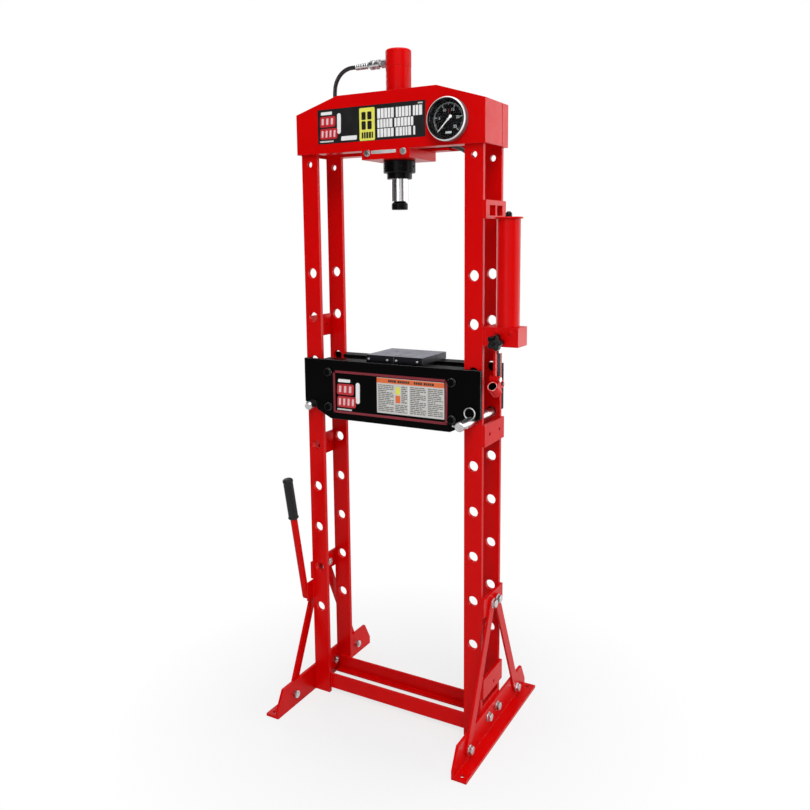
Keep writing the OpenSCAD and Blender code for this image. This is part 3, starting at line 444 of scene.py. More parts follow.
def moulded(name, tone, rough, grain, strength, radius=0.0006, level=0.5):
    """Moulded rubber or plastic: a fine grain, slightly polished where it is handled."""
    paint = Paint(name, Specular_IOR_Level=level)
    handled = paint.scaled(paint.noise(34, 4, 0.6), 0.35, 0.7)
    skin = paint.noise(grain, 3, 0.6)
    return paint.finish(Base_Color=paint.mix(handled, tone, tuple(1.7 * c for c in tone)),
                        Roughness=paint.scaled(handled, 0.0, 1.0, *rough),
                        Normal=paint.bump(skin, strength, 0.0003, paint.rounded(radius)))


def printed(name, tone, worn, rough=0.42):
    """Printed vinyl film: a touch of fading, faint rub marks and a slight waviness."""
    paint = Paint(name)
    faded = paint.scaled(paint.noise(45, 4, 0.6), 0.42, 0.75, 0.0, 0.5)
    rub = paint.scaled(paint.noise(14, 6, 0.7, distortion=1.0), 0.5, 0.8)
    return paint.finish(Base_Color=paint.mix(faded, tone, worn),
                        Roughness=paint.scaled(rub, 0.0, 1.0, rough, rough + 0.16),
                        Normal=paint.bump(paint.noise(60, 2), 0.08, 0.0006))


def clear_lens():
    """Clear lens that lets light through to the dial."""
    paint = Paint("lens_clear", IOR=1.46, Transmission_Weight=1.0,
                  Base_Color=(0.97, 0.985, 0.99, 1), Specular_Tint=(0.22, 0.22, 0.23, 1))
    paint.finish(Roughness=paint.scaled(paint.noise(50, 3), 0.4, 0.8, 0.0, 0.012))
    shadow = paint.add("LightPath").outputs["Is Shadow Ray"]
    through = paint.add("BsdfTransparent").outputs[0]
    shown = paint.add("MixShader", {0: shadow, 1: paint.shader.outputs[0], 2: through})
    paint.feed(paint.tree.nodes["Material Output"].inputs[0], shown.outputs[0])
    return paint.material


def wrapped_rubber():
    """Hose cover: smooth black rubber with the impression of its wrap and dusty patches."""
    paint = Paint("hose_rubber")
    wrap = paint.add("TexWave", {"Vector": paint.place, "Scale": 260.0, "Distortion": 3.0,
                                 "Detail": 1.0}, wave_type="BANDS", bands_direction="DIAGONAL")
    dust = paint.scaled(paint.noise(30, 5, 0.7), 0.5, 0.8)
    skin = paint.math("ADD", wrap.outputs["Fac"], paint.noise(1500, 2))
    return paint.finish(Base_Color=paint.mix(dust, (0.010, 0.010, 0.012), (0.034, 0.033, 0.033)),
                        Roughness=paint.scaled(dust, 0, 1, 0.36, 0.6),
                        Normal=paint.bump(skin, 0.35, 0.0002))


# The two powder coats. Their level is the shader's specular level, low for a matt film.
# Each coat's edge colour is painted highlight along the edges, with a little wear.
RED_COAT = {"level": 0.09, "deep": (0.55, 0.0006, 0.0008), "plain": (0.61, 0.0008, 0.0010),
            "edge": (0.78, 0.05, 0.05), "rough": (0.28, 0.36), "peel": 0.08}
BLACK_COAT = {"level": 0.03, "deep": (0.0008, 0.0008, 0.0009), "plain": (0.0014, 0.0014, 0.0015),
              "edge": (0.46, 0.46, 0.47), "rough": (0.34, 0.44), "peel": 0.10}

# One material for each of the record's slots.
PAINTS = {
    "frame_red": powder_coat("frame_red", RED_COAT),
    "bed_black": powder_coat("bed_black", BLACK_COAT),
    "black_steel": oxide("black_steel", (0.0016, 0.0016, 0.0018)),
    "zinc": plated("zinc", (0.66, 0.66, 0.66), (0.44, 0.44, 0.45), (0.22, 0.40)),
    "bare_steel": plated("bare_steel", (0.48, 0.48, 0.50), (0.34, 0.34, 0.36), (0.3, 0.5)),
    "hard_chrome": plated("hard_chrome", (0.84, 0.84, 0.85), (0.76, 0.77, 0.78), (0.12, 0.22),
                          stretch=(1, 1, 0.08), marks=0.06),
    "black_rubber": moulded("black_rubber", (0.006, 0.006, 0.0066), (0.42, 0.62), 900, 0.3,
                            level=0.25),
    "black_plastic": moulded("black_plastic", (0.002, 0.002, 0.0022), (0.16, 0.26), 1400, 0.1,
                             0.0016, 0.2),
    "needle_white": moulded("needle_white", (0.62, 0.62, 0.61), (0.3, 0.4), 1200, 0.05, 0.0002),
    "lens_clear": clear_lens(),
}
HOSE_RUBBER = wrapped_rubber()
SCALE_GREY = moulded("scale_grey", (0.30, 0.31, 0.31), (0.5, 0.6), 1200, 0.05, 0.0002, 0.1)
SCALE_RED = moulded("scale_red", (0.20, 0.006, 0.006), (0.5, 0.6), 1200, 0.05, 0.0002, 0.1)

BEZEL_SEAL = 0.0445  # the radius within which the bezel's front is a black seal

# CAD nodes that differ from the rest of their slot.
OWN_PAINTS = {
    "arbor_plates": arbor_steel(),
    "gauge_dial": moulded("dial_black", (0.0008, 0.0008, 0.0008), (0.6, 0.75), 2200, 0.05,
                          0.0002, 0.01),
    "gauge_bezel": bezel_chrome(JOINTS["gauge_hinge"]["pos_m"], BEZEL_SEAL),
    "pump_plunger": plated("plunger_steel", (0.07, 0.07, 0.075), (0.035, 0.035, 0.04),
                           (0.2, 0.34), 0.0006, (1, 1, 0.1)),
    "lever_socket": socket_paint("socket_red", RED_COAT, MOUNTS["lever_socket_bore"]),
}

# The tone of each printed ink, its tone where it is faded, and for black its gloss.
INK_TONES = {
    "black": ((0.006, 0.006, 0.007), (0.014, 0.014, 0.015), 0.34),
    "white": ((0.80, 0.80, 0.80), (0.66, 0.66, 0.66)),
    "red": ((0.50, 0.012, 0.022), (0.34, 0.010, 0.018)),
    "dark_red": ((0.17, 0.003, 0.012), (0.26, 0.010, 0.024)),
    "yellow": ((0.74, 0.72, 0.10), (0.62, 0.60, 0.12)),
    "orange": ((0.72, 0.13, 0.025), (0.60, 0.16, 0.05)),
    "grey": ((0.13, 0.13, 0.12), (0.22, 0.22, 0.20)),
    "pale": ((0.58, 0.57, 0.55), (0.48, 0.48, 0.46)),
    "rose": ((0.74, 0.50, 0.52), (0.60, 0.34, 0.36)),
}
INKS = {ink: printed("print_" + ink, *tones) for ink, tones in INK_TONES.items()}
# A brighter plated ink, used only for the painted highlight strip on the ram holder.
INKS["zinc"] = plated("highlight_zinc", (0.86, 0.84, 0.84), (0.78, 0.76, 0.76), (0.4, 0.55))


def dress_solids():
    """Every CAD node gets the material of its slot, or its own."""
    for part in frame["record"]["subparts"]:
        node = NODES[part["node"]]
        chosen = OWN_PAINTS.get(part["node"], PAINTS[part["material_slot"]])
        if not node.material_slots:
            node.data.materials.append(chosen)
        for place in node.material_slots:
            place.material = chosen


dress_solids()
hose.data.materials.append(HOSE_RUBBER)

# ---------------------------------------------------------------- mesh helpers


def box_of(node):
    """The lowest and the highest corner of a CAD node, in mm."""
    return [[v / MM for v in corner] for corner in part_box(node)]


def middle(a, b):
    return [(v + w) / 2 for v, w in zip(a, b)]


def add_piece(name, bm, body, slot, *materials, smooth=32):
    """A new object from a bmesh, with edges sharper than smooth degrees kept crisp. It rides on
    a body if one is given, and has its slot's material if no other is given."""
    bmesh.ops.remove_doubles(bm, verts=bm.verts, dist=1e-7)
    bmesh.ops.recalc_face_normals(bm, faces=bm.faces)
    mesh = bpy.data.meshes.new(name)
    bm.to_mesh(mesh)
    bm.free()
    for material in materials or [PAINTS[slot]]:
        mesh.materials.append(material)
    mesh.polygons.foreach_set("use_smooth", [True] * len(mesh.polygons))
    mesh.set_sharp_from_angle(angle=math.radians(smooth))
    piece = bpy.data.objects.new(name, mesh)
    COLLECTION.objects.link(piece)
    if body:
        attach(piece, body)
    return piece


def skin_rings(bm, rings, material=0):
    """A closed form over rings of points, each ring with as many points as the others."""
    made = [[bm.verts.new(p) for p in ring] for ring in rings]
    faces = [bm.faces.new(list(reversed(made[0]))), bm.faces.new(made[-1])]
    count = len(made[0])
    for low, high in zip(made, made[1:]):
        for k in range(count):
            n = (k + 1) % count
            faces.append(bm.faces.new((low[k], low[n], high[n], high[k])))
    for face in faces:
        face.material_index = material


def ring_of(at, steps, form):
    """Points once round a place's axis; form(angle) gives a radius and a height in mm."""
    ring = []
    for k in range(steps):
        a = 2 * math.pi * k / steps
        r, h = form(a)
        ring.append(at @ (Vector((r * math.cos(a), r * math.sin(a), h)) * MM))
    return ring


def turned(bm, profile, at, steps=48, wave=lambda angle, height: 1, material=0):
    """A turned form: profile is (radius, height) in mm, and wave scales the radius."""
    rings = [ring_of(at, steps, lambda a: (r * wave(a, h), h)) for r, h in profile]
    skin_rings(bm, rings, material)


def slab(bm, outline, at, low, high, material=0):
    """A flat form from its outline in mm, between two heights."""
    rings = [[at @ (Vector((x, y, h)) * MM) for x, y in outline] for h in (low, high)]
    skin_rings(bm, rings, material)


def along(place, direction, spin=0.0):
    """A matrix that puts a form's height axis along a direction, at a place in mm."""
    turn = Vector(direction).normalized().to_track_quat("Z", "Y").to_matrix().to_4x4()
    spun = Matrix.Rotation(math.radians(spin), 4, "Z")
    return Matrix.Translation(Vector(place) * MM) @ turn @ spun


def on_front(x, y, z):
    """A matrix for forms on a face that looks to the front: x right, y up, height outwards."""
    return Matrix.Translation(Vector((x, y, z)) * MM) @ Matrix.Rotation(math.radians(90), 4, "X")


# ---------------------------------------------------------------- fasteners

# A bolt's sizes by its diameter, and its washer in mm.
FLATS, HEAD, NUT = 1.5, 0.6, 0.75
WASHER = 2.0
WASHER_SEEN = 1.8


def hexagon(bm, flats, low, high, at):
    """The hexagon of a nut or bolt, with its top corners cut by a cone."""
    flat = flats / 2
    crown = 0.96 * flat
    slope = math.tan(math.radians(30))

    def side(a):
        return flat / math.cos(math.radians((math.degrees(a) + 30) % 60 - 30))

    forms = (lambda a: (side(a), low), lambda a: (side(a), high - (side(a) - crown) * slope),
             lambda a: (crown, high))
    skin_rings(bm, [ring_of(at, 48, form) for form in forms])


def washer(bm, inner, outer, high, at):
    edge = min(0.3, high / 3)
    profile = [(inner, 0), (outer - edge, 0), (outer, edge), (outer, high - edge),
               (outer - edge, high), (inner, high)]
    turned(bm, profile, at, 40)


def thread(bm, d, high, at, pitch=1.75):
    """A threaded end, with rings for its turns and a chamfered tip."""
    root, crest = d / 2 - 0.7, d / 2 - 0.05
    profile = [(root - 0.2, 0)]
    z = 0
    while z + pitch < high - 1:
        profile += [(root, z + 0.15 * pitch), (crest, z + 0.5 * pitch), (crest, z + 0.6 * pitch),
                    (root, z + pitch)]
        z += pitch
    profile += [(root, high - 1), (root - 0.9, high)]
    turned(bm, profile, at, 28)


def hex_bolt(bm, at, d, grip):
    """A bolt with its nut. Its washer sits at height 0, and its shank points down."""
    below = at @ Matrix.Translation((0, 0, -grip * MM)) @ Matrix.Rotation(math.pi, 4, "X")
    washer(bm, 0.5 * d, 0.98 * d, WASHER_SEEN, at)
    hexagon(bm, FLATS * d, WASHER_SEEN, WASHER + HEAD * d, at)
    turned(bm, [(d / 2 - 0.1, -grip), (d / 2 - 0.1, WASHER_SEEN + 0.1)], at, 24)
    hexagon(bm, FLATS * d, 0, NUT * d, below)
    thread(bm, d, d - 0.2, below)


def islands(node):
    """The box of each separate solid in a CAD node, in mm."""
    bm = bmesh.new()
    bm.from_mesh(NODES[node].data)
    bmesh.ops.remove_doubles(bm, verts=bm.verts, dist=1e-6)
    seen = set()
    boxes = []
    for first in bm.verts:
        if first in seen:
            continue
        seen.add(first)
        stack, points = [first], []
        while stack:
            vert = stack.pop()
            points.append(vert.co)
            beside = {edge.other_vert(vert) for edge in vert.link_edges} - seen
            seen |= beside
            stack += beside
        boxes.append([[pick(p[i] for p in points) / MM for i in range(3)] for pick in (min, max)])
    bm.free()
    return sorted(boxes, key=lambda box: [round(v, 1) for v in box[0] + box[1]])


def make_frame_bolts():
    """The zinc bolts of the frame, each where its CAD bolt is, with its head outwards."""
    bm = bmesh.new()
    for i, (low, high) in enumerate(islands("frame_bolts")):
        size = [b - a for a, b in zip(low, high)]
        head = middle(low, high)
        axis = 0 if abs(size[1] - size[2]) < 1 else 1
        d = max(size[1 - axis], size[2]) / 2
        way = 1 if head[axis] > 0 else -1
        outer = high[axis] if way > 0 else low[axis]
        head[axis] = outer - way * (WASHER + HEAD * d)
        direction = [0, 0, 0]
        direction[axis] = way
        hex_bolt(bm, along(head, direction, 17 * i), d, size[axis] - WASHER - (HEAD + 1) * d)
    bolts = add_piece("frame_bolt_set", bm, "frame", "zinc", smooth=28)
    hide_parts("frame_bolts")


def make_bed_bolts():
    """Spacer tubes between the bed's plates, with their through bolts."""
    face = box_of("bed_rear")[1][1]
    plate, tube_r = 8, 11
    shank_r, washer_r, thick, head = 6, 10.2, 1.4, 5.5
    bm = bmesh.new()
    for i, (low, high) in enumerate(islands("bed_spacers")):
        x, _, z = middle(low, high)
        tube = [(tube_r, plate - face), (tube_r, face - plate)]
        turned(bm, tube, along((x, 0, z), (0, 1, 0)), 40)
        for e in (-1, 1):
            at = along((x, e * face, z), (0, e, 0), 11 * i + 7 * e)
            washer(bm, shank_r, washer_r, thick, at)
            hexagon(bm, FLATS * 2 * shank_r, thick, thick + head, at)
            turned(bm, [(shank_r, -12), (shank_r, 1)], at, 24)
    bolts = add_piece("bed_spacer_set", bm, "bed", "bed_black", smooth=28)
    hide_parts("bed_spacers")


make_frame_bolts()
make_bed_bolts()

# ---------------------------------------------------------------- turned and moulded pieces


def ferrule(bm, length, at):
    """A crimped ferrule: a plain neck, and pressed bands with grooves between them."""
    inner, neck, groove, band = 4.9, 6.5, 6.9, 7.5
    profile = [(inner, 0), (neck - 0.2, 0.2), (neck, 0.8), (neck, 3.4)]
    z = 4.6
    while z < length - 6:
        profile += [(band, z), (band, z + 2.4), (groove, z + 3.1), (groove, z + 4.2)]
        z += 5.0
    profile += [(band, z), (band, length - 1.6), (groove, length - 0.4), (inner + 0.2, length)]

    def pressed(angle, height):
        return 1 + 0.012 * math.cos(8 * angle) if 4 < height < length - 2 else 1

    turned(bm, profile, at, 40, pressed)


def make_hose_fittings():
    """Ferrules at both ends of the hose, from the coupler and from a union nut at the pump."""
    low, high = box_of("hose_ferrules")
    coupler_end = box_of("ram_coupler")[0][0]
    x, _, z = HOSE_ROUTE[-1]
    nut, nut_flats, pump_ferrule = 12, 17, 25
    pump_back = high[1] - nut - pump_ferrule
    bm = bmesh.new()
    ferrule(bm, coupler_end - low[0], along((coupler_end, 0, HOSE_ROUTE[0][2]), (-1, 0, 0)))
    hexagon(bm, nut_flats, 0, nut, along((x, pump_back, z), (0, 1, 0), 12))
    ferrule(bm, pump_ferrule, along((x, pump_back + nut, z), (0, 1, 0)))
    fittings = add_piece("hose_end_fittings", bm, "frame", "zinc")
    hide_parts("hose_ferrules")


def make_knob():
    """Five-lobed release knob with rounded edges, a recessed face and its steel stem."""
    low, high = box_of("release_knob")
    x, _, z = [v / MM for v in JOINTS["knob_turn"]["pos_m"]]
    reach, height = 19.0, 20.0
    back = low[1] + height
    at = along((x, back, z), (0, -1, 0))

    def lobed(inset, h):
        def form(a):
            lobe = 0.5 + 0.5 * math.cos(5 * a)
            return reach * (0.70 + 0.30 * lobe ** 0.8) - inset, h
        return ring_of(at, 120, form)

    levels = [(4.0, 0.0), (1.2, 0.3), (0.3, 1.2), (0.0, 2.6), (0.0, height - 5.5),
              (0.35, height - 3.6), (1.3, height - 1.6), (3.0, height - 0.4), (4.6, height)]
    button = [(6.2, height - 0.5), (6.6, height + 0.2), (6.2, height + 0.6), (5.0, height + 0.35)]
    bm = bmesh.new()
    skin_rings(bm, [lobed(inset, h) for inset, h in levels])
    turned(bm, button, at, 36)
    turned(bm, [(7.0, -4), (7.4, -3.4), (7.4, 0.4)], at, 36)
    turned(bm, [(4.0, back - high[1]), (4.0, 0)], at, 28, material=1)
    knob = add_piece("release_star_knob", bm, "knob", "black_plastic", PAINTS["black_plastic"],
                     PAINTS["zinc"], smooth=40)
    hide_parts("release_knob")


# The stored handle's foot, its lean and its grip's span along it, as in the part's source.
HANDLE_FOOT = (-256, -74, 270)
HANDLE_LEAN = 10.7
GRIP_SPAN = (230.0, 341.0)


def make_grip():
    """Rubber grip on the handle: a flanged mouth, finger ribs and a domed end."""
    lean = Matrix.Rotation(math.radians(HANDLE_LEAN), 4, "X")
    start, end = GRIP_SPAN
    profile = [(9.2, start), (12.4, start + 0.3), (13.5, start + 1.6), (13.5, start + 4.2),
               (12.3, start + 6.0)]
    z = start + 9
    while z < end - 16:
        profile += [(11.9, z), (12.45, z + 1.2), (12.45, z + 3.0), (11.9, z + 4.2)]
        z += 5.6
    profile += [(12.0, end - 12), (13.0, end - 8), (13.4, end - 5), (12.9, end - 2.4),
                (10.8, end - 0.8), (6.0, end)]
    bm = bmesh.new()
    turned(bm, profile, Matrix.Translation(Vector(HANDLE_FOOT) * MM) @ lean, 56)
    grip = add_piece("handle_rubber_grip", bm, "frame", "black_rubber", smooth=50)
    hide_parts("handle_grip")


def make_filler_plug():
    """Knurled vent plug on the reservoir's lid."""
    low, high = box_of("filler_plug")
    x, y, _ = middle(low, high)
    at = along((x, y, low[2]), (0, 0, 1))
    knurl = [(6.6, 10.0), (7.3, 10.6), (7.4, 11.0), (7.4, 17.6), (7.0, 18.4), (5.6, 19.6),
             (4.4, 21.4), (3.6, 22)]
    bm = bmesh.new()
    turned(bm, [(5, 0), (5, 10.2)], at, 32)
    turned(bm, knurl, at, 96,
           lambda angle, height: 1 + (0.013 * math.cos(24 * angle) if 10.8 < height < 18 else 0))
    plug = add_piece("vent_plug", bm, "frame", "black_plastic", smooth=40)
    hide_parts("filler_plug")


def make_lid():
    """Rolled lid on the reservoir, with a shallow dished top and a hole for the plug."""
    low, high = box_of("reservoir_cap")
    x, y, _ = middle(low, high)
    r = (high[0] - low[0]) / 2
    h = high[2] - low[2]
    hole, wall, skirt = 5.2, 23.6, 8.0
    profile = [(hole, 0), (wall - 0.2, 0), (wall, 0.5), (wall, skirt), (r - 1.2, skirt),
               (r - 0.3, skirt + 0.6), (r, skirt + 1.6), (r, h - 1.6), (r - 0.5, h - 0.6),
               (r - 1.8, h), (r - 4.4, h), (r - 5.6, h - 0.7), (9.6, h - 0.7), (8.8, h), (hole, h)]
    bm = bmesh.new()
    turned(bm, profile, along((x, y, low[2]), (0, 0, 1)), 96)
    lid = add_piece("reservoir_lid", bm, "frame", "frame_red", smooth=40)
    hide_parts("reservoir_cap")


make_hose_fittings()
make_knob()
make_grip()
make_filler_plug()
make_lid()

# ---------------------------------------------------------------- gauge face

GAUGE_AT = on_front(*(v / MM for v in JOINTS["gauge_hinge"]["pos_m"]))
GAUGE_ZERO, GAUGE_SWEEP = -135, 270  # degrees clockwise from the top
DIAL_FACE = 3.05                     # the dial's height on the gauge's axis


def clockwise(angle):
    """The direction on the dial at an angle clockwise from the top."""
    a = math.radians(angle)
    return Vector((math.sin(a), math.cos(a)))


def bar(bm, angle, inner, outer, width, material=0):
    """A raised bar on the dial, pointing out from its middle."""
    way = clockwise(angle)
    side = Vector((way.y, -way.x)) * width / 2
    outline = [way * inner - side, way * inner + side, way * outer + side, way * outer - side]
    slab(bm, outline, GAUGE_AT, DIAL_FACE, DIAL_FACE + 0.12, material)


def number(bm, text, angle, radius):
    """A raised number on the dial."""
    data = bpy.data.curves.new("number", "FONT")
    data.body = text
    data.size = 8.6 * MM
    data.extrude = 0.06 * MM
    data.align_x = "CENTER"
    data.align_y = "CENTER"
    data.offset = 0.05 * MM
    mesh = mesh_of("number", data)
    spot = (clockwise(angle) * radius).to_3d() + Vector((0, 0, DIAL_FACE + 0.06))
    mesh.transform(GAUGE_AT @ Matrix.Translation(spot * MM))
    bm.from_mesh(mesh)
    bpy.data.meshes.remove(mesh)


def make_dial_marks():
    """The dial's ticks in three lengths, its arc, a red mark, a plain field and its numbers."""
    marks, arc_parts, numbers, rim = 50, 108, 5, 35.4
    ticks = ((2.8, 0.45), (4.4, 0.8), (7.0, 1.2))
    bm = bmesh.new()
    for i in range(marks + 1):
        length, width = ticks[(i % 5 == 0) + (i % 10 == 0)]
        bar(bm, GAUGE_ZERO + GAUGE_SWEEP * i / marks, rim - length, rim, width)
    for i in range(arc_parts):
        bar(bm, GAUGE_ZERO + GAUGE_SWEEP * (i + 0.5) / arc_parts, rim + 0.2, rim + 0.7, 1.72)
    bar(bm, 1, 14.0, 23.0, 0.9, 1)
    bar(bm, 180, 25.5, 30.0, 15.0)
    for i in range(numbers + 1):
        number(bm, str(5 * i), GAUGE_ZERO + GAUGE_SWEEP * i / numbers, 22.5)
    add_piece("gauge_scale", bm, "frame", "needle_white", SCALE_GREY, SCALE_RED)


def make_needle():
    """Slim pointer with a round counterweight and a screwed hub, at zero when at rest."""
    way = clockwise(GAUGE_ZERO)
    side = Vector((way.y, -way.x))
    half = [(-11.5, 1.4), (-10.6, 2.6), (-9.0, 3.3), (-7.2, 3.2), (-5.4, 2.2), (-4.0, 1.4),
            (0.0, 1.2), (12.0, 0.8), (30.0, 0.45), (37.0, 0.25)]
    outline = [way * s + side * w for s, w in half]
    outline += [way * s - side * w for s, w in reversed(half)]
    hub = [(1.5, 0.6), (1.5, 4.6), (2.7, 4.9), (2.7, 6.8), (2.3, 7.4), (1.0, 7.6)]
    bm = bmesh.new()
    slab(bm, outline, GAUGE_AT, 5.8, 6.5)
    turned(bm, hub, GAUGE_AT, 32, material=1)
    needle = add_piece("gauge_pointer", bm, "gauge_hand", "needle_white", PAINTS["needle_white"],
                       PAINTS["zinc"])
    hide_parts("gauge_needle")


make_dial_marks()
make_needle()

# ---------------------------------------------------------------- printed fields


class Sheet:
    """Thin fields on a node's front face, in mm from a spot right of and above its corner."""

    def __init__(self, node, right, up):
        low = box_of(node)[0]
        self.at = on_front(low[0] + right, low[1], low[2] + up)
        self.bm = bmesh.new()
        self.inks = []

    def field(self, x0, y0, x1, y1, ink, layer=1, radius=1.0, slant=0.0):
        """A field with rounded corners, a little further out with each layer."""
        if ink not in self.inks:
            self.inks.append(ink)
        r = min(radius, (x1 - x0) / 2.01, (y1 - y0) / 2.01)
        centres = ((x1 - r, y1 - r), (x0 + r, y1 - r), (x0 + r, y0 + r), (x1 - r, y0 + r))
        outline = []
        for quarter, (x, y) in enumerate(centres):
            for k in range(5):
                a = math.radians(90 * (quarter + k / 4))
                rise = y + r * math.sin(a)
                outline.append((x + r * math.cos(a) + slant * (rise - y0), rise))
        slab(self.bm, outline, self.at, -0.05, 0.12 * layer, self.inks.index(ink))

    def blocks(self, x0, y0, x1, y1, ink, layer, seed, width=7.0, gap=1.8, space=5.5):
        """A row of plain upright blocks that fills a line, as a bold caption would."""
        chance = random.Random(seed)
        x = x0
        run = chance.randint(4, 6)
        while x < x1 - 3:
            w = min(width * chance.uniform(0.7, 1.15), x1 - x)
            self.field(x, y0, x + w, y1, ink, layer, 0.6)
            run -= 1
            x += w + (space if run == 0 else gap)
            run = chance.randint(4, 7) if run == 0 else run

    def lines(self, x0, y0, x1, y1, count, seed):
        """Thin grey bars in rows, as small print is seen from afar."""
        chance = random.Random(seed)
        pitch = (y1 - y0) / count
        half = 0.28 * pitch
        for i in range(count):
            y = y1 - pitch * (i + 0.5)
            x = x0
            end = x1 if i % 4 != 3 else x0 + (x1 - x0) * chance.uniform(0.45, 0.8)
            while x < end - 2:
                w = min(chance.uniform(4, 16), end - x)
                self.field(x, y - half, x + w, y + half, "grey", 2, 0.3)
                x += w + 1.6

    def emblem(self, x, y, scale):
        """A plain emblem of blocks: two red fields with bars, and pale bars round them."""
        def part(x0, y0, x1, y1, ink, layer, radius, slant=0.0):
            self.field(x + x0 * scale, y + y0 * scale, x + x1 * scale, y + y1 * scale, ink, layer,
                       radius * scale, slant)

        part(4, 74, 40, 82, "white", 2, 1.5, 0.1)
        part(0, 42, 50, 70, "red", 2, 5, 0.06)
        part(0, 10, 56, 38, "red", 2, 5, 0.06)
        for i in range(3):
            part(6 + 15 * i, 48, 13 + 15 * i, 65, "rose", 3, 2, 0.06)
        for i in range(4):
            part(5 + 13 * i, 15, 11 + 13 * i, 33, "rose", 3, 2, 0.06)
        part(0, 2, 44, 6, "pale", 2, 1)
        part(56, 22, 68, 76, "white", 2, 6, 0.02)

    def place(self, name, body, slot="black_plastic"):
        add_piece(name, self.bm, body, slot, *[INKS[ink] for ink in self.inks])


def make_beam_label():
    """Black name panel across the beam, filled with plain fields instead of words."""
    sheet = Sheet("beam_front", 63, 22)
    sheet.field(0, 0, 292, 80, "black", 1, 2)
    sheet.emblem(6, 2, 0.88)
    sheet.field(66, 5, 110, 15, "white", 2, 2, 0.1)
    sheet.field(118, 1, 160, 75, "yellow", 2, 3)
    for x in (124, 140):
        sheet.field(x, 48, x + 11.5, 66, "black", 3, 2)
        sheet.field(x, 26, x + 11.5, 45, "black", 3, 2)
    sheet.blocks(124, 6, 155, 20, "black", 3, 5, 5.5, 1.6, 1.6)
    sheet.blocks(167, 48, 286, 70, "white", 2, 11)
    sheet.blocks(167, 27, 261, 46, "white", 2, 12)
    sheet.blocks(167, 6, 269, 25, "white", 2, 13)
    sheet.field(273, 73, 285, 76, "pale", 2, 0.5)
    sheet.place("beam_label", "frame")


def make_bed_label():
    """Panels on the bed's front plate: a dark red border, an emblem and a notice of bars."""
    sheet = Sheet("bed_front", 86, 16.2)
    wide, high, band = 317, 107, 6
    sheet.field(0, high - band, wide, high, "dark_red", 1, 2)
    sheet.field(0, 0, wide, band, "dark_red", 1, 2)
    sheet.field(0, 0, band, high, "dark_red", 1, 2)
    sheet.field(wide - band, 0, wide, high, "dark_red", 1, 2)
    sheet.emblem(11, 6, 0.98)
    sheet.field(127, 12, 309, 99, "pale", 1, 1.5)
    sheet.field(127, 86, 309, 98, "orange", 2, 1)
    sheet.blocks(159, 89, 217, 95, "black", 3, 21, 5, 1.2, 4)
    sheet.blocks(229, 89, 285, 95, "black", 3, 22, 5, 1.2, 4)
    sheet.lines(131, 16, 174, 83, 15, 31)
    sheet.lines(178, 16, 211, 37, 5, 32)
    sheet.field(179, 61, 192, 79, "yellow", 2, 1)
    sheet.field(179, 40, 192, 58, "orange", 2, 1)
    sheet.lines(195, 40, 211, 82, 9, 33)
    sheet.lines(219, 16, 261, 83, 15, 34)
    sheet.lines(266, 16, 305, 83, 15, 35)
    sheet.field(214, 15, 215.4, 84, "white", 2, 0.4)
    sheet.place("bed_label", "bed")


def make_holder_highlight():
    """Painted highlight: a bright plated strip along the top of the ram holder's front face,
    between its bolts, standing in for the light on the holder's top edge.
    """
    sheet = Sheet("ram_holder", 26, 12.5)
    sheet.field(0, 0, 66, 7.5, "zinc", 7, 1.5)
    sheet.place("holder_highlight", "frame", "zinc")


make_beam_label()
make_bed_label()
make_holder_highlight()

# ---------------------------------------------------------------- welds and small details


def bead(bm, start, end, normal, width, seed):
    """A weld bead from start to end, in mm: overlapping ripples, uneven as a hand-laid weld is."""
    pitch, points = 2.4, 10
    start, end, normal = Vector(start), Vector(end), Vector(normal).normalized()
    length = (end - start).length
    way = (end - start).normalized()
    side = way.cross(normal)
    chance = random.Random(seed)
    count = max(6, int(length / 0.8))
    rings = []
    drift = 0.0
    for i in range(count + 1):
        s = length * i / count
        drift = 0.9 * drift + chance.uniform(-0.06, 0.06)
        ripple = 1 + 0.10 * math.sin(2 * math.pi * s / pitch) + drift
        swell = width * ripple * min(1.0, 0.35 + s / 3, 0.35 + (length - s) / 3)
        ring = []
        for k in range(points):
            a = 2 * math.pi * k / points
            across = side * math.sin(a) * 0.62 * swell + normal * math.cos(a) * 0.42 * swell
            ring.append((start + way * s + across) * MM)
        rings.append(ring)
    skin_rings(bm, rings)


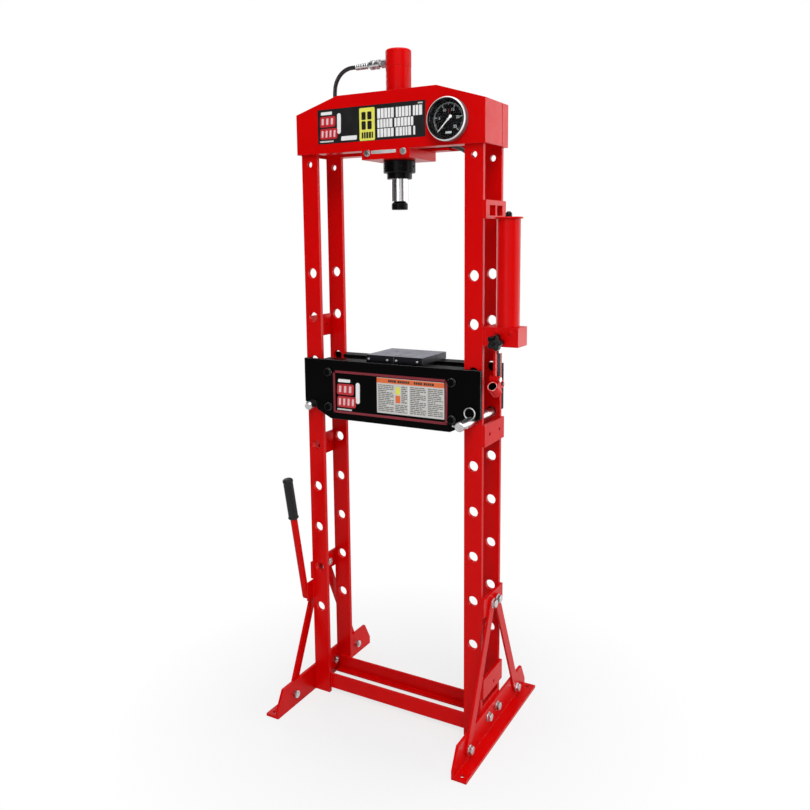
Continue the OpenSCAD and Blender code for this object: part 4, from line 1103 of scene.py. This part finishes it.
def make_welds():
    """Weld beads where plates meet: beam ends, side plates, floor members, bracket and tab."""
    bm = bmesh.new()
    seeds = itertools.count(1)

    def weld(start, end, normal, width=2.6):
        bead(bm, start, end, normal, width, next(seeds))

    (inner, front, _), (outer, _, _) = box_of("post_front_right")
    beam = box_of("beam_front")
    for s in (-1, 1):
        for e in (-1, 1):
            x, y = s * (beam[1][0] - 6.2), e * (-front - 0.4)
            weld((x, y, beam[0][2] + 4), (x, y, beam[0][2] + 90), (-s, -e, 0))
    for node in ("side_plate_right_upper", "side_plate_right_lower", "pump_bracket",
                 "base_plate_right"):
        low, high = box_of(node)
        for e in (-1, 1):
            x, y = outer + 0.4, e * (-front - 10.6)
            weld((x, y, low[2] + 4), (x, y, high[2] - 4), (0, -e, 0), 3.0)
    for low, high in islands("side_plates_left"):
        for y in (low[1], high[1]):
            weld((low[0], y, low[2] + 3), (low[0], y, high[2] - 3), (-1, 0, 0))
    for node, e in (("cross_member_front", -1), ("cross_member_rear", 1)):
        low, high = box_of(node)
        y, top = low[1] if e < 0 else high[1], high[2]
        for s in (-1, 1):
            weld((s * inner, y, low[2] + 3), (s * inner, y, top - 2), (-s, e, 0), 3.4)
            weld((s * (inner + 3), y, top), (s * (high[0] - 2), y, top), (0, -e, 1), 3.4)
    foot = box_of("handle_clip")[0][2]
    weld((-outer, front, foot + 3), (-outer, front, foot + 47), (1, -1, 0))
    add_piece("weld_beads", bm, "frame", "frame_red", smooth=80)


def make_arbor_dowels():
    """Bright dowels in the front edges of the arbor plates."""
    low, high = box_of("arbor_plates")
    z = (low[2] + high[2]) / 2 - 2
    bm = bmesh.new()
    for x in (7, 59, 84, 141):
        at = along((low[0] + x, low[1], z), (0, -1, 0))
        turned(bm, [(3.0, -2), (3.0, 0.5), (2.5, 1.0), (1.0, 0.7)], at, 28)
    add_piece("arbor_dowels", bm, "bed", "zinc")


def make_return_spring():
    """The return spring inside the hollow rod, between the cap and the ram."""
    low, high = box_of("return_spring")
    turns, steps, sides, wire = 16, 24, 10, 1.25
    rise = (high[2] - low[2] - 2 * wire) / (turns * steps)
    up = Vector((0, 0, 1))
    rings = []
    for i in range(turns * steps + 1):
        a = 2 * math.pi * i / steps
        out = Vector((math.cos(a), math.sin(a), 0))
        core = out * (high[0] - wire) + up * (low[2] + wire + rise * i)
        around = [2 * math.pi * k / sides for k in range(sides)]
        rings.append([(core + wire * (out * math.cos(b) + up * math.sin(b))) * MM for b in around])
    bm = bmesh.new()
    skin_rings(bm, rings)
    coil = add_piece("return_coil", bm, None, "bare_steel")
    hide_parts("return_spring")
    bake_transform(coil)


make_welds()
make_arbor_dowels()
make_return_spring()
